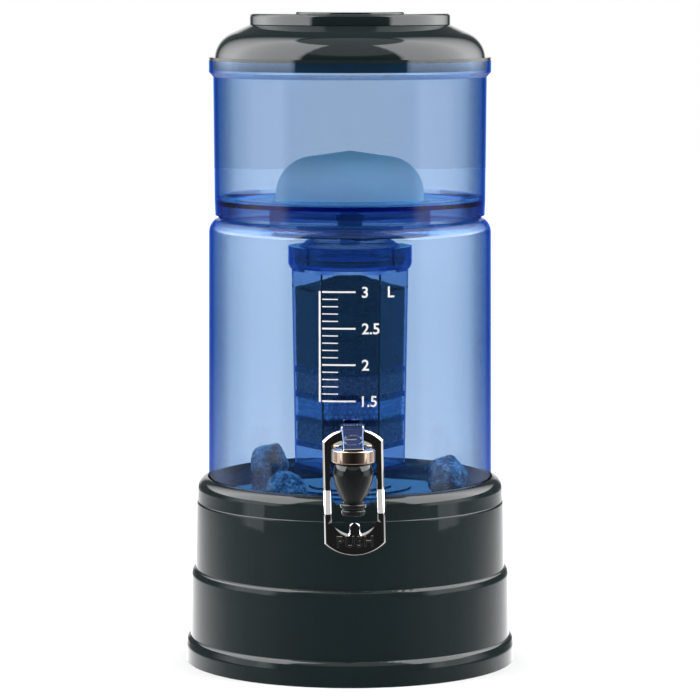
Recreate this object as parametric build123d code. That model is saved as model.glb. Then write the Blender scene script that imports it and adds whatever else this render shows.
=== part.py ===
from build123d import *
import os
from math import cos, radians, sin, sqrt, tan

# Countertop gravity water filter: a base stand, a lower tank with a push tap, an upper tank with a
# ceramic dome, a filter cartridge hanging under it, and a lid with a round grip.
# Millimetres, +Z up. The origin is on the tanks' axis at the floor. The tap faces -Y.

# Clearances
recess_gap = 0.6        # lower tank inside the recess of the base
mouth_gap = 0.6         # upper tank's spigot inside the lower tank's mouth
lid_gap = 0.5           # lid's skirt inside the upper tank's rim
plate_gap = 0.3         # dome's plate inside the well
nut_gap = 0.5           # cartridge nut over the thread crests, and over the jar's neck
flange_gap = 0.1        # cartridge nut's lip under the jar's flange
fill_gap = 0.1          # fillings and screens inside the jar
jar_floor_gap = 11.5    # cartridge above the lower tank's floor
seal_gap = 0.8          # valve seal inside the foot of the tap's chamber
stem_gap = 0.3          # stem in the floor of the well
shank_gap = 0.4         # tap's shank in the wall of the lower tank
slot_gap = 0.5          # lever's tongue in the slot of the tap's cap
pin_gap = 0.05          # lever on its hinge pin
ball_gap = 0.25         # plunger's ball in the lever's fork
guide_gap = 0.4         # plunger's rod in the tap's cap
lever_gap = 0.5         # lever's upper plate behind the collar ring
past = 10.0             # how far a cut runs past what it cuts
same_place = 0.000001   # points nearer than this are one

# Lower tank
tank_h = 183.0          # foot to lip
tank_r = 92.4           # outside, at the bottom
tank_taper = 0.8        # smaller radius below the shoulder
tank_wall = 2.5
tank_floor_t = 3.0
tank_foot_h = 3.0
tank_foot_w = 6.4
tank_corner = 6.0       # round at the bottom, outside
tank_inner_corner = 5.0
shoulder_round = 10.0
mouth_inset = 9.0       # side to the mouth
lip_w = 2.7
floor_step_r = 40.0     # outer step moulded in the floor
floor_step_h = 0.8
floor_disc_r = 27.0     # inner step
floor_disc_h = 1.6

# Base stand
base_h = 120.5
recess_depth = 13.5
rim_w = 6.1
rim_round = 8.0
tray_t = 3.0
base_wall = 2.6
base_draft = 1.4        # degrees
ridge_top_drop = 16.0   # three rounded steps outwards, the first one from the top
ridge_top_h = 1.2
ridge_top_step = 0.5
ridge_mid_z = 60.9
ridge_mid_h = 4.2
ridge_mid_step = 2.4
ridge_low_z = 16.3
ridge_low_h = 6.3
ridge_low_step = 2.6
ridge_shelf = 0.65      # share of a step that its flatter upper part takes
ridge_fall = 0.16       # share of its height
ridge_sharp = 0.6       # round between the two parts, over the height
ridge_soft = 1.5        # round at the foot of a step, over the height
ridge_sink = 0.5        # how far the inside lies below, over the wall
foot_w = 4.0
hub_r = 14.0
rib_t = 2.4
rib_lift = 4.0
notch_r = 28.4          # scallop in the rim, under the tap
notch_depth = 6.9

# Upper tank
upper_h = 101.0         # seat to rim
seat_w = 5.3            # mouth of the lower tank to the upper tank's side
upper_flare = 0.6       # larger radius below the collar
upper_wall = 2.5
upper_floor_t = 2.5
floor_rise = 10.6       # seat to the top of the floor
upper_inner_corner = 4.0
collar_proud = 2.8
collar_h = 7.4
collar_slope_h = 3.1
skirt_rise = 1.2        # skirt's lower edge above the seat
skirt_inset = 0.4
spigot_h = 6.0
spigot_wall = 2.4
well_r = 52.4
well_depth = 22.3       # top of the tank's floor to the outside of the well's floor
well_wall = 2.2
well_floor_t = 2.1
well_corner = 2.0
ledge_drop = 4.1
ledge_w = 3.7
ledge_t = 1.5
neck_r = 26.5
neck_h = 3.3
neck_wall = 2.2
cone_h = 4.3
thread_r = 35.9         # crests
thread_wall = 3.5
thread_h = 7.7
thread_pitch = 2.0
thread_depth = 0.7
thread_flat = 0.5

# Ceramic dome, on its plate and stem
dome_inset = 1.9        # dome's side inside the edge of its plate
dome_h = 31.6
dome_round = 24.0
dome_wall = 7.0
crown_slope = 8.4       # degrees
dome_plate_t = 3.0
dome_gasket_t = 1.5
stem_r = 6.2
stem_wall = 2.7
stem_collar_w = 1.8
stem_collar_h = 8.0
stem_reach = 5.0        # below the well's floor
stem_washer_w = 2.8
stem_washer_t = 1.5
stem_nut_wall = 0.8
stem_nut_t = 3.5

# Cartridge
jar_corner_proud = 4.6  # hexagon's corners past the neck, at the top
jar_draft = 2.15        # smaller corner radius at the bottom
jar_wall = 1.8
jar_neck_wall = 2.0
jar_neck_h = 2.8        # hexagon's top to the flange
jar_flange_w = 2.3
jar_flange_t = 2.5
jar_edge = 1.5
cartridge_gasket_t = 1.5
nut_wall = 3.85
nut_h = 14.0
nut_lip_t = 2.0
nut_foot_inset = 1.25
nut_foot_h = 2.6
nut_rib_w = 4.0
nut_rib_proud = 1.3
nut_rib_count = 4
screen_t = 2.0
outlet_cap_t = 2.5
outlet_room_h = 11.7
divider_t = 3.7
layer_h = 12.4
layer_count = 3
carbon_head = 10.0      # straight part of the carbon to the jar's roof
carbon_mound_h = 7.0
carbon_mound_r = 9.0
divider_hole_r = 1.5
divider_ring_r = 9.5    # pitch of the rings of holes
divider_rings = 2

# Lid
lid_edge_t = 2.1
lid_edge_inset = 0.05   # inside the collar of the upper tank
lid_edge_w = 3.65       # edge to the foot of the dome
lid_corner_h = 12.5     # rim to where the side and the slope would meet
lid_slope = 24.5        # degrees
lid_round = 18.3
lid_slope_w = 29.6      # foot of the dome to the flat crown under the grip
lid_flat_round = 6.0
lid_wall = 2.4
lid_skirt_h = 6.0
lid_skirt_wall = 2.4
grip_overhang = 6.8     # past the flat crown
grip_rise = 4.1         # crown to the grip's upper face
grip_wall = 2.6
grip_edge = 1.8
grip_gap = 0.3          # between the slope and the skirt of the grip
grip_boss_r = 22.0
grip_boss_wall = 4.0
badge_r = 35.0
badge_t = 1.0
badge_edge = 0.6

# Tap
tap_reach = 33.6        # side of the lower tank to the spout's axis
tap_z = 35.0            # bottom of the lower tank to the tap's middle; the tap's heights count from there
barrel_drop = 3.8       # tap's middle to the axis of its barrel and shank
pad_margin = 1.5        # flat pads on the tank's wall, outside and inside, past the flange
pad_proud = 0.8
pad_inner_margin = 2.5
pad_inner_proud = 2.2
shank_bore_r = 5.0
shank_wall = 3.0
shank_end = 1.5         # past the tap's nut
tap_flange_w = 4.5
tap_flange_t = 3.0
tap_gasket_t = 2.0
tap_nut_wall = 4.0
tap_nut_t = 7.0
barrel_wall = 2.5
bulb_r = 12.6           # widest part of the tap's body
bulb_top_r = 11.2
bulb_low_r = 6.65
bulb_waist_r = 10.9
bulb_wide_h = 4.7       # widest part below the tap's middle
bulb_top_h = 2.7
bulb_waist_drop = 11.7
bulb_low_drop = 20.5
bulb_neck_h = 1.0
tube_wall = 1.6         # outlet tube inside the nozzle
tube_end_drop = 28.5
outlet_r = 4.0
chamber_r = 8.5
chamber_low_r = 6.8
chamber_low_drop = 13.0
seat_drop = 17.0
body_top_rise = 5.0
cap_wall = 1.0
cap_skirt_rise = 3.9
cap_floor_t = 2.5
cap_slot_back = 5.5     # behind the spout's axis
cap_dome_proud = 0.8
cap_dome_h = 3.2
ring_wall = 1.5
ring_h = 8.1
ring_edge = 0.8
nozzle_lip_proud = 0.9   # past the groove
nozzle_lip_h = 3.6
nozzle_edge = 1.0
nozzle_bead_proud = 1.4  # past the groove
nozzle_bead_h = 3.4
nozzle_bead_edge = 1.2
nozzle_groove_proud = 0.6        # past the neck
nozzle_groove_h = 0.6
nozzle_neck_wall = 0.7
nozzle_drop = 29.3      # tap's middle to the nozzle's mouth
seal_t = 2.0
plunger_flange_r = 4.8
plunger_flange_t = 2.0
plunger_r = 2.0
plunger_step_rise = 11.0
plunger_rod_r = 1.1
ball_r = 1.9
spring_r = 3.2
spring_wire_r = 0.45
spring_turns = 6

# Push lever
pivot_front = 7.0       # hinge pin in front of the spout's axis
pivot_rise = 11.3       # hinge pin above the tap's middle
knuckle_r = 2.7
hinge_pin_r = 1.2
lever_half_w = 18.95
lever_t = 2.6
lever_rail_w = 3.65
lever_jog = 9.5         # lower plate in front of the upper one
lever_shoulder_rise = 17.7      # these heights count from the tap's middle
lever_arch_rise = 23.8
lever_window_rise = 2.5
lever_slot_rise = 10.4
lever_slot_half_w = 9.6
lever_jog_top_drop = 13.6
lever_jog_low_drop = 29.2
lever_arc_side_drop = 34.2
lever_arc_mid_drop = 41.75
lever_low_shoulder_drop = 48.0
lever_bottom_drop = 56.0
lever_tab_half_w = 3.4
lever_tab_drop = 34.7
window_corner = 3.0
tongue_half_w = 6.6
tongue_t = 3.0
tongue_slope = 23.0     # degrees
tongue_face_rise = 17.8         # tongue's upper face above the tap's middle, over the spout's axis
dimple_r = 5.9
dimple_depth = 0.7
dimple_back = 1.0
thumb_reach = 5.5       # thumb tab behind the upper plate
thumb_rib_count = 6
thumb_groove_r = 0.45
fork_half_w = 4.4
fork_len = 7.0
fork_hook_t = 1.2
fork_slot_gap = 0.6

# Mineral stones: half sizes, angle round the tank from +X, clearance to the tank's side, and own turn
stone_left_half = (13.2, 12.0, 12.4)
stone_left_angle = 136.7
stone_left_gap = 3.8
stone_left_turn = 25.0
stone_front_half = (13.4, 10.5, 9.6)
stone_front_angle = -127.2
stone_front_gap = 8.7
stone_front_turn = 10.0
stone_right_half = (14.2, 12.0, 12.8)
stone_right_angle = -19.5
stone_right_gap = 9.9
stone_right_turn = -20.0
stone_rest = 0.82       # share of the half height that stands above the floor

# Radii that follow
tank_top_r = tank_r - tank_taper
mouth_r = tank_top_r - mouth_inset
upper_r = mouth_r + seat_w
upper_top_r = upper_r + upper_flare
collar_r = upper_top_r + collar_proud
plate_r = well_r - well_wall - plate_gap
dome_r = plate_r - dome_inset
nut_bore_r = thread_r + nut_gap
jar_flange_r = thread_r
jar_neck_r = jar_flange_r - jar_flange_w
jar_corner_top_r = jar_neck_r + jar_corner_proud
lid_edge_r = collar_r - lid_edge_inset
lid_r = lid_edge_r - lid_edge_w
lid_flat_r = lid_r - lid_slope_w
grip_r = lid_flat_r + grip_overhang
shank_r = shank_bore_r + shank_wall
tap_flange_r = shank_r + tap_flange_w
tube_r = outlet_r + tube_wall
cap_r = bulb_top_r + cap_wall
cap_dome_r = cap_r + cap_dome_proud
ring_r = cap_r + ring_wall
seal_r = chamber_low_r - seal_gap

# Places that follow
tank_z = base_h - recess_depth
tank_floor_z = tank_z + tank_foot_h + tank_floor_t
seat_z = tank_z + tank_h
floor_z = seat_z + floor_rise
rim_z = seat_z + upper_h
well_z = floor_z - well_depth
thread_top_z = well_z - neck_h - cone_h
thread_z = thread_top_z - thread_h
flange_z = thread_z - cartridge_gasket_t - jar_flange_t
jar_top_z = flange_z - jar_neck_h
jar_z = tank_floor_z + floor_disc_h + jar_floor_gap
middle_z = tank_z + tap_z
barrel_z = middle_z - barrel_drop
pad_y = -(tank_r + pad_proud)
pad_inner_y = -(tank_r - tank_wall - pad_inner_proud)
spout_y = -(tank_r + tap_reach)
pivot_y = spout_y - pivot_front
pivot_z = middle_z + pivot_rise
ring_z = middle_z + cap_skirt_rise
ring_top_z = ring_z + ring_h
body_top_z = middle_z + body_top_rise


def tangent_room(corners, rounds, i):
    """Longest tangent that the runs beside a corner leave for its round."""
    rooms = []
    for j in (i - 1, (i + 1) % len(corners)):
        run = (corners[j] - corners[i]).length
        rooms.append(run / 2 if rounds[j] > 0 else run)
    return min(rooms)


def profile(points):
    """Closed outline in the XZ plane of straight runs; a third value rounds that corner."""
    corners = [Vector(p[0], p[1]) for p in points]
    rounds = [p[2] if len(p) > 2 else 0.0 for p in points]
    starts, ends, arcs = [], [], []
    for i, corner in enumerate(corners):
        if rounds[i] == 0.0:
            starts.append(corner)
            ends.append(corner)
            continue
        back = (corners[i - 1] - corner).normalized()
        on = (corners[(i + 1) % len(corners)] - corner).normalized()
        half = radians(back.get_angle(on)) / 2
        tangent = min(rounds[i] / tan(half), tangent_room(corners, rounds, i))
        radius = tangent * tan(half)
        middle = (back + on).normalized()
        starts.append(corner + back * tangent)
        ends.append(corner + on * tangent)
        nearest = corner + middle * (radius / sin(half) - radius)
        arcs.append(ThreePointArc(starts[i], nearest, ends[i]))
    gaps = [(ends[i - 1], starts[i]) for i in range(len(corners))]
    runs = [Line(a, b) for a, b in gaps if (b - a).length > same_place]
    return Plane.XZ * make_face(runs + arcs)


def turned(points, centre_y=0.0):
    """Solid of revolution about the vertical line x = 0, y = centre_y."""
    return Pos(0, centre_y, 0) * revolve(profile(points), Axis.Z)


def upright(radius, low, high, centre_y=0.0):
    """Vertical cylinder between two heights."""
    return Pos(0, centre_y, (low + high) / 2) * Cylinder(radius, high - low)


def level(radius, front, back, height):
    """Cylinder along Y between two places, at a height."""
    return Pos(0, (front + back) / 2, height) * Rot(90, 0, 0) * Cylinder(radius, back - front)


def cross_cylinder(radius, half, y, z):
    """Cylinder along X, as long on both sides of the middle."""
    return Pos(0, y, z) * Rot(0, 90, 0) * Cylinder(radius, 2 * half)


def block(x_pair, y_pair, z_pair):
    """Box between the given limits."""
    size = [b - a for a, b in (x_pair, y_pair, z_pair)]
    middle = [(a + b) / 2 for a, b in (x_pair, y_pair, z_pair)]
    return Pos(*middle) * Box(*size)


def hexagon_level(half_flats, front, back, height):
    """Hexagonal prism along Y."""
    outline = RegularPolygon(half_flats, 6, major_radius=False)
    return Pos(0, back, height) * Rot(90, 0, 0) * extrude(outline, back - front)


# ---------------------------------------------------------------- base stand

def base_outer_r(z, steps):
    """Outside radius of the base at a height, with the steps passed so far."""
    return tank_r + recess_gap + rim_w + (base_h - z) * tan(radians(base_draft)) + steps


def base_side(inset):
    """Side of the base with its rounded steps from top to floor, moved inwards."""
    ridges = [(base_h - ridge_top_drop, ridge_top_h, ridge_top_step)]
    ridges += [(ridge_mid_z, ridge_mid_h, ridge_mid_step), (ridge_low_z, ridge_low_h, ridge_low_step)]
    points, steps = [], 0.0
    for z, step_h, step in ridges:
        high = z - inset * ridge_sink
        shelf_r = base_outer_r(z, steps) + step * ridge_shelf
        points.append((base_outer_r(z, steps) - inset, high))
        points.append((shelf_r - inset, high - step_h * ridge_fall, step_h * ridge_sharp))
        steps += step
        points.append((base_outer_r(z - step_h, steps) - inset, high - step_h, step_h * ridge_soft))
    points.append((base_outer_r(0, steps) - inset, 0))
    return points


def make_base_stand():
    outer = [(0, base_h), (base_outer_r(base_h, 0), base_h, rim_round)] + base_side(0) + [(0, 0)]
    under_z = tank_z - tray_t
    hollow = [(0, under_z), (base_outer_r(under_z, 0) - base_wall, under_z)] + base_side(base_wall)
    hollow[-1] = (hollow[-1][0] - (foot_w - base_wall), 0)
    cavity = turned(hollow + [(0, 0)])
    span = base_outer_r(0, 0) + ridge_top_step + ridge_mid_step + ridge_low_step
    inner_frame = upright(hub_r, 0, under_z)
    inner_frame += block((-span, span), (-rib_t / 2, rib_t / 2), (rib_lift, under_z))
    inner_frame += block((-rib_t / 2, rib_t / 2), (-span, span), (rib_lift, under_z))
    recess = upright(tank_r + recess_gap, tank_z, base_h + rim_round)
    notch = level(notch_r, -span, -(tank_r - tank_wall), base_h - notch_depth + notch_r)
    return turned(outer) - (cavity - inner_frame) - recess - notch


# ---------------------------------------------------------------- lower tank

def make_lower_tank():
    inner_r, inner_top_r = tank_r - tank_wall, tank_top_r - tank_wall
    foot_r = tank_r - tank_corner - tank_foot_w
    under_lip_z = seat_z - tank_wall
    outer = [(0, seat_z), (tank_top_r, seat_z, shoulder_round), (tank_r, tank_z, tank_corner)]
    outer += [(foot_r, tank_z), (foot_r, tank_z + tank_foot_h), (0, tank_z + tank_foot_h)]
    inner = [(0, tank_floor_z + floor_disc_h), (floor_disc_r, tank_floor_z + floor_disc_h)]
    inner += [(floor_disc_r, tank_floor_z + floor_step_h), (floor_step_r, tank_floor_z + floor_step_h)]
    inner += [(floor_step_r, tank_floor_z), (inner_r, tank_floor_z, tank_inner_corner)]
    inner += [(inner_top_r, under_lip_z, shoulder_round - tank_wall), (0, under_lip_z)]
    lip = upright(mouth_r + lip_w, under_lip_z, seat_z)
    mouth = upright(mouth_r, under_lip_z - shoulder_round, seat_z)
    tank = turned(outer) + lip - turned(inner) - mouth
    pad_r, pad_inner_r = tap_flange_r + pad_margin, tap_flange_r + pad_inner_margin
    tank += level(pad_r, pad_y, pad_y + pad_proud + tank_wall, barrel_z)
    tank += level(pad_inner_r, pad_inner_y - pad_inner_proud - tank_wall / 2, pad_inner_y, barrel_z)
    return tank - level(shank_r + shank_gap, pad_y - tank_wall, pad_inner_y + tank_wall, barrel_z)


def make_stone(half, angle, gap, turn):
    """Rounded stone with a worn flat on the tank's floor."""
    reach = tank_r - tank_wall - gap - max(half)
    stone = Pos(0, 0, half[2] * stone_rest) * Rot(0, 0, turn) * scale(Sphere(1), by=half)
    stone -= upright(max(half), -max(half), 0)
    return Pos(reach * cos(radians(angle)), reach * sin(radians(angle)), tank_floor_z) * stone


# ---------------------------------------------------------------- upper tank

def thread_side():
    """Outline of the ring thread under the well, from top to bottom."""
    points = []
    flank = (thread_pitch - 2 * thread_flat) / 2
    z = thread_top_z - thread_flat
    while z - thread_pitch > thread_z:
        points += [(thread_r, z), (thread_r - thread_depth, z - flank)]
        points += [(thread_r - thread_depth, z - flank - thread_flat)]
        points += [(thread_r, z - thread_pitch + thread_flat)]
        z -= thread_pitch
    return points


def make_upper_tank():
    spigot_r = mouth_r - mouth_gap
    spigot_low_z = seat_z - spigot_h
    skirt_z = seat_z + skirt_rise
    seat_r = mouth_r + lip_w
    collar_low_z = rim_z - collar_h
    side_top_z = collar_low_z - collar_slope_h
    cone_foot = thread_r - thread_depth - thread_wall / 2
    outer = [(collar_r, rim_z), (collar_r, collar_low_z), (upper_top_r, side_top_z), (upper_r, floor_z)]
    outer += [(upper_r - skirt_inset, skirt_z), (seat_r, skirt_z), (seat_r, seat_z), (spigot_r, seat_z)]
    outer += [(spigot_r, spigot_low_z), (spigot_r - spigot_wall, spigot_low_z)]
    outer += [(spigot_r - spigot_wall, floor_z - upper_floor_t), (well_r, floor_z - upper_floor_t)]
    outer += [(well_r, well_z, well_corner), (neck_r, well_z), (neck_r, well_z - neck_h)]
    outer += [(cone_foot, thread_top_z), (thread_r, thread_top_z)]
    outer += thread_side()
    bore_r = thread_r - thread_wall
    well_inner_r = well_r - well_wall
    ledge_r = well_inner_r - ledge_w
    ledge_z = floor_z - ledge_drop
    stem_hole_r = stem_r + stem_gap
    inner = [(thread_r, thread_z), (bore_r, thread_z), (bore_r, thread_top_z)]
    inner += [(neck_r - neck_wall, well_z - neck_h), (neck_r - neck_wall, well_z), (stem_hole_r, well_z)]
    inner += [(stem_hole_r, well_z + well_floor_t), (well_inner_r, well_z + well_floor_t, well_corner)]
    inner += [(well_inner_r, ledge_z - ledge_t - ledge_w), (ledge_r, ledge_z - ledge_t), (ledge_r, ledge_z)]
    inner += [(well_inner_r, ledge_z), (well_inner_r, floor_z)]
    inner += [(upper_r - upper_wall, floor_z, upper_inner_corner), (upper_top_r - upper_wall, side_top_z)]
    inner += [(collar_r - upper_wall, collar_low_z), (collar_r - upper_wall, rim_z)]
    return turned(outer + inner)


# ---------------------------------------------------------------- ceramic dome and its fixings

def dome_plate_z():
    return floor_z - ledge_drop + dome_gasket_t


def dome_solid(radius, height, corner):
    """Upright side, round shoulder and a gently sloping crown."""
    low = dome_plate_z() + dome_plate_t
    edge_z = low + height - radius * tan(radians(crown_slope))
    return turned([(0, low), (radius, low), (radius, edge_z, corner), (0, low + height)])


def make_dome_filter():
    return dome_solid(dome_r, dome_h, dome_round) - dome_solid(dome_r - dome_wall, dome_h - dome_wall,
                                                                dome_round - dome_wall)


def make_dome_plate():
    low = dome_plate_z()
    washer_top = well_z + well_floor_t + stem_washer_t
    plate = upright(plate_r, low, low + dome_plate_t)
    plate += upright(stem_r, well_z - stem_reach, low)
    plate += upright(stem_r + stem_collar_w, washer_top, washer_top + stem_collar_h)
    return plate - upright(stem_r - stem_wall, well_z - stem_reach, low + dome_plate_t)


def make_dome_gasket():
    low = floor_z - ledge_drop
    gasket = upright(plate_r, low, low + dome_gasket_t)
    return gasket - upright(plate_r + plate_gap - ledge_w, low, low + dome_gasket_t)


def make_stem_washer():
    low = well_z + well_floor_t
    washer = upright(stem_r + stem_washer_w, low, low + stem_washer_t)
    return washer - upright(stem_r, low, low + stem_washer_t)


def make_stem_nut():
    outline = RegularPolygon(stem_r + stem_nut_wall, 6, major_radius=False) - Circle(stem_r)
    return Pos(0, 0, well_z - stem_nut_t) * extrude(outline, stem_nut_t)


# ---------------------------------------------------------------- cartridge

def jar_corner_r(z):
    """Corner radius of the jar's outside at a height."""
    return jar_corner_top_r - jar_draft * (jar_top_z - z) / (jar_top_z - jar_z)


def hexagon_slab(low, high, inset):
    """Tapered hexagonal prism that follows the jar's sides, moved inwards; corners on X."""
    faces = []
    for z in (low, high):
        corner_r = jar_corner_r(z) - inset / cos(radians(30))
        faces.append(Pos(0, 0, z) * RegularPolygon(corner_r, 6))
    return loft(faces, ruled=True)


def make_cartridge_jar():
    neck_bore = jar_neck_r - jar_neck_wall
    flange_top_z = flange_z + jar_flange_t
    body = hexagon_slab(jar_z, jar_top_z, 0)
    body = fillet(body.edges().filter_by_position(Axis.Z, jar_z + jar_edge, jar_top_z - jar_edge), jar_edge)
    jar = body - hexagon_slab(jar_z, jar_top_z - jar_wall, jar_wall)
    jar += upright(jar_neck_r, jar_top_z, flange_z) + upright(jar_flange_r, flange_z, flange_top_z)
    return jar - upright(neck_bore, jar_top_z - jar_wall, flange_top_z)


def make_cartridge_gasket():
    low = flange_z + jar_flange_t
    ring = upright(thread_r, low, low + cartridge_gasket_t)
    return ring - upright(thread_r - thread_wall, low, low + cartridge_gasket_t)


def make_cartridge_screen():
    low = flange_z
    disc = upright(jar_neck_r - jar_neck_wall, low, low + screen_t)
    return disc - hole_pattern(low, low + screen_t)


def hole_pattern(low, high):
    """A middle hole and rings of holes round it, six more in each."""
    hole = upright(divider_hole_r, low, high)
    holes = [hole]
    for ring in range(1, divider_rings + 1):
        holes += [place * hole for place in PolarLocations(ring * divider_ring_r, 6 * ring)]
    return holes


def divider_low(index):
    """Lower face of a divider; 0 is the lowest."""
    return jar_z + outlet_cap_t + outlet_room_h + index * (divider_t + layer_h)


def make_divider(index):
    low = divider_low(index)
    return hexagon_slab(low, low + divider_t, jar_wall + fill_gap) - hole_pattern(low, low + divider_t)


def make_layer(index):
    low = divider_low(index) + divider_t
    return hexagon_slab(low, low + layer_h, jar_wall + fill_gap)


def make_carbon_fill():
    low = divider_low(layer_count) + divider_t
    high = jar_top_z - jar_wall - carbon_head
    foot_r = jar_corner_r(high) * cos(radians(30)) - jar_wall - fill_gap
    mound = Pos(0, 0, high + carbon_mound_h / 2) * Cone(foot_r, carbon_mound_r, carbon_mound_h)
    return hexagon_slab(low, high, jar_wall + fill_gap) + mound


def make_outlet_cap():
    return hexagon_slab(jar_z, jar_z + outlet_cap_t, jar_wall) - hole_pattern(jar_z, jar_z + outlet_cap_t)


def make_cartridge_nut():
    low = flange_z - flange_gap - nut_lip_t
    nut_r = nut_bore_r + nut_wall
    outside = [(0, low), (nut_r - nut_foot_inset, low), (nut_r, low + nut_foot_h)]
    outside += [(nut_r, low + nut_h), (0, low + nut_h)]
    nut = turned(outside)
    rib_half = nut_rib_w / 2
    rib = block((0, nut_r + nut_rib_proud), (-rib_half, rib_half), (low + nut_foot_h, low + nut_h))
    for place in PolarLocations(0, nut_rib_count, start_angle=180 / nut_rib_count):
        nut += place * rib
    nut -= upright(jar_neck_r + nut_gap, low, low + nut_lip_t)
    return nut - upright(nut_bore_r, low + nut_lip_t, low + nut_h)


# ---------------------------------------------------------------- lid

def lid_slope_z(radius):
    """Height of the lid's outer slope at a radius."""
    return rim_z + lid_corner_h + (lid_r - radius) * tan(radians(lid_slope))


def make_lid_shell():
    skirt_r = collar_r - upper_wall - lid_gap
    skirt_inner_r, skirt_low_z = skirt_r - lid_skirt_wall, rim_z - lid_skirt_h
    crown_z = lid_slope_z(lid_flat_r)
    drop = lid_wall / cos(radians(lid_slope))
    inner_r = lid_r - lid_wall
    inner_flat_r = lid_flat_r - lid_wall * tan(radians(lid_slope / 2))
    outer = [(0, crown_z), (lid_flat_r, crown_z, lid_flat_round), (lid_r, lid_slope_z(lid_r), lid_round)]
    outer += [(lid_r, rim_z), (0, rim_z)]
    inner = [(0, rim_z), (inner_r, rim_z), (inner_r, lid_slope_z(inner_r) - drop, lid_round - lid_wall)]
    inner += [(inner_flat_r, crown_z - lid_wall, lid_flat_round - lid_wall), (0, crown_z - lid_wall)]
    edge = [(skirt_inner_r, skirt_low_z), (skirt_r, skirt_low_z), (skirt_r, rim_z), (lid_edge_r, rim_z)]
    edge += [(lid_edge_r, rim_z + lid_edge_t), (inner_r, rim_z + lid_edge_t), (inner_r, rim_z)]
    edge += [(skirt_inner_r, rim_z)]
    return turned(outer) - turned(inner) + turned(edge)


def grip_top_z():
    return lid_slope_z(lid_flat_r) + grip_rise


def make_lid_grip():
    top = grip_top_z()
    under = top - grip_wall
    crown_z = lid_slope_z(lid_flat_r)
    skirt_r = grip_r - grip_wall
    boss_bore = grip_boss_r - grip_boss_wall
    points = [(0, top), (grip_r, top, grip_edge), (grip_r, lid_slope_z(grip_r) + grip_gap)]
    points += [(skirt_r, lid_slope_z(skirt_r) + grip_gap), (skirt_r, under), (grip_boss_r, under)]
    points += [(grip_boss_r, crown_z), (boss_bore, crown_z), (boss_bore, under), (0, under)]
    return turned(points)


def make_lid_badge():
    low = grip_top_z()
    return turned([(0, low), (badge_r, low), (badge_r, low + badge_t, badge_edge), (0, low + badge_t)])


# ---------------------------------------------------------------- tap

def make_tap_body():
    low_z = middle_z - bulb_low_drop
    top_z = middle_z + bulb_top_h
    waist_z, wide_z = middle_z - bulb_waist_drop, middle_z - bulb_wide_h
    side = Spline((bulb_low_r, low_z), (bulb_waist_r, waist_z), (bulb_r, wide_z), (bulb_top_r, top_z))
    neck_z = low_z - bulb_neck_h
    tube_z = middle_z - tube_end_drop
    steps = [(bulb_top_r, top_z), (bulb_top_r, body_top_z), (0, body_top_z), (0, tube_z)]
    steps += [(tube_r, tube_z), (tube_r, neck_z), (bulb_low_r, neck_z), (bulb_low_r, low_z)]
    bulb = Pos(0, spout_y, 0) * revolve(Plane.XZ * make_face([side, Polyline(*steps)]), Axis.Z)
    flange_y = pad_y - tap_gasket_t
    body = bulb + level(shank_bore_r + barrel_wall, spout_y, flange_y, barrel_z)
    body += level(tap_flange_r, flange_y - tap_flange_t, flange_y, barrel_z)
    body += level(shank_r, flange_y, shank_back_y(), barrel_z)
    valve_z = middle_z - seat_drop
    chamber = [(0, body_top_z), (chamber_r, body_top_z), (chamber_r, middle_z - chamber_low_drop)]
    chamber += [(chamber_low_r, valve_z), (outlet_r, valve_z), (outlet_r, tube_z), (0, tube_z)]
    body -= turned(chamber, spout_y)
    return body - level(shank_bore_r, spout_y, shank_back_y(), barrel_z)


def shank_back_y():
    """Inner end of the threaded shank."""
    return pad_inner_y + tap_gasket_t + tap_nut_t + shank_end


def make_tap_gasket(front, radius):
    back = front + tap_gasket_t
    return level(radius, front, back, barrel_z) - level(shank_r, front, back, barrel_z)


def make_tap_nut():
    front = pad_inner_y + tap_gasket_t
    back = front + tap_nut_t
    hexagon = hexagon_level(shank_r + tap_nut_wall, front, back, barrel_z)
    return hexagon - level(shank_r, front, back, barrel_z)


def make_tap_nozzle():
    low = middle_z - nozzle_drop
    lip_z = low + nozzle_lip_h
    bead_z = lip_z + nozzle_groove_h
    top = middle_z - bulb_low_drop - bulb_neck_h
    tube_z = middle_z - tube_end_drop
    neck_r = tube_r + nozzle_neck_wall
    groove_r = neck_r + nozzle_groove_proud
    bead_r = groove_r + nozzle_bead_proud
    lip_r = groove_r + nozzle_lip_proud
    points = [(outlet_r, low), (lip_r, low, nozzle_edge), (lip_r, lip_z, nozzle_edge)]
    points += [(groove_r, lip_z), (groove_r, bead_z), (bead_r, bead_z, nozzle_bead_edge)]
    points += [(bead_r, bead_z + nozzle_bead_h, nozzle_bead_edge), (neck_r, bead_z + nozzle_bead_h)]
    points.append((neck_r, top))
    points += [(tube_r, top), (tube_r, tube_z), (outlet_r, tube_z)]
    return turned(points, spout_y)


def make_collar_ring():
    points = [(cap_r, ring_z), (ring_r, ring_z, ring_edge), (ring_r, ring_top_z, ring_edge)]
    points.append((cap_r, ring_top_z))
    return turned(points, spout_y)


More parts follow.
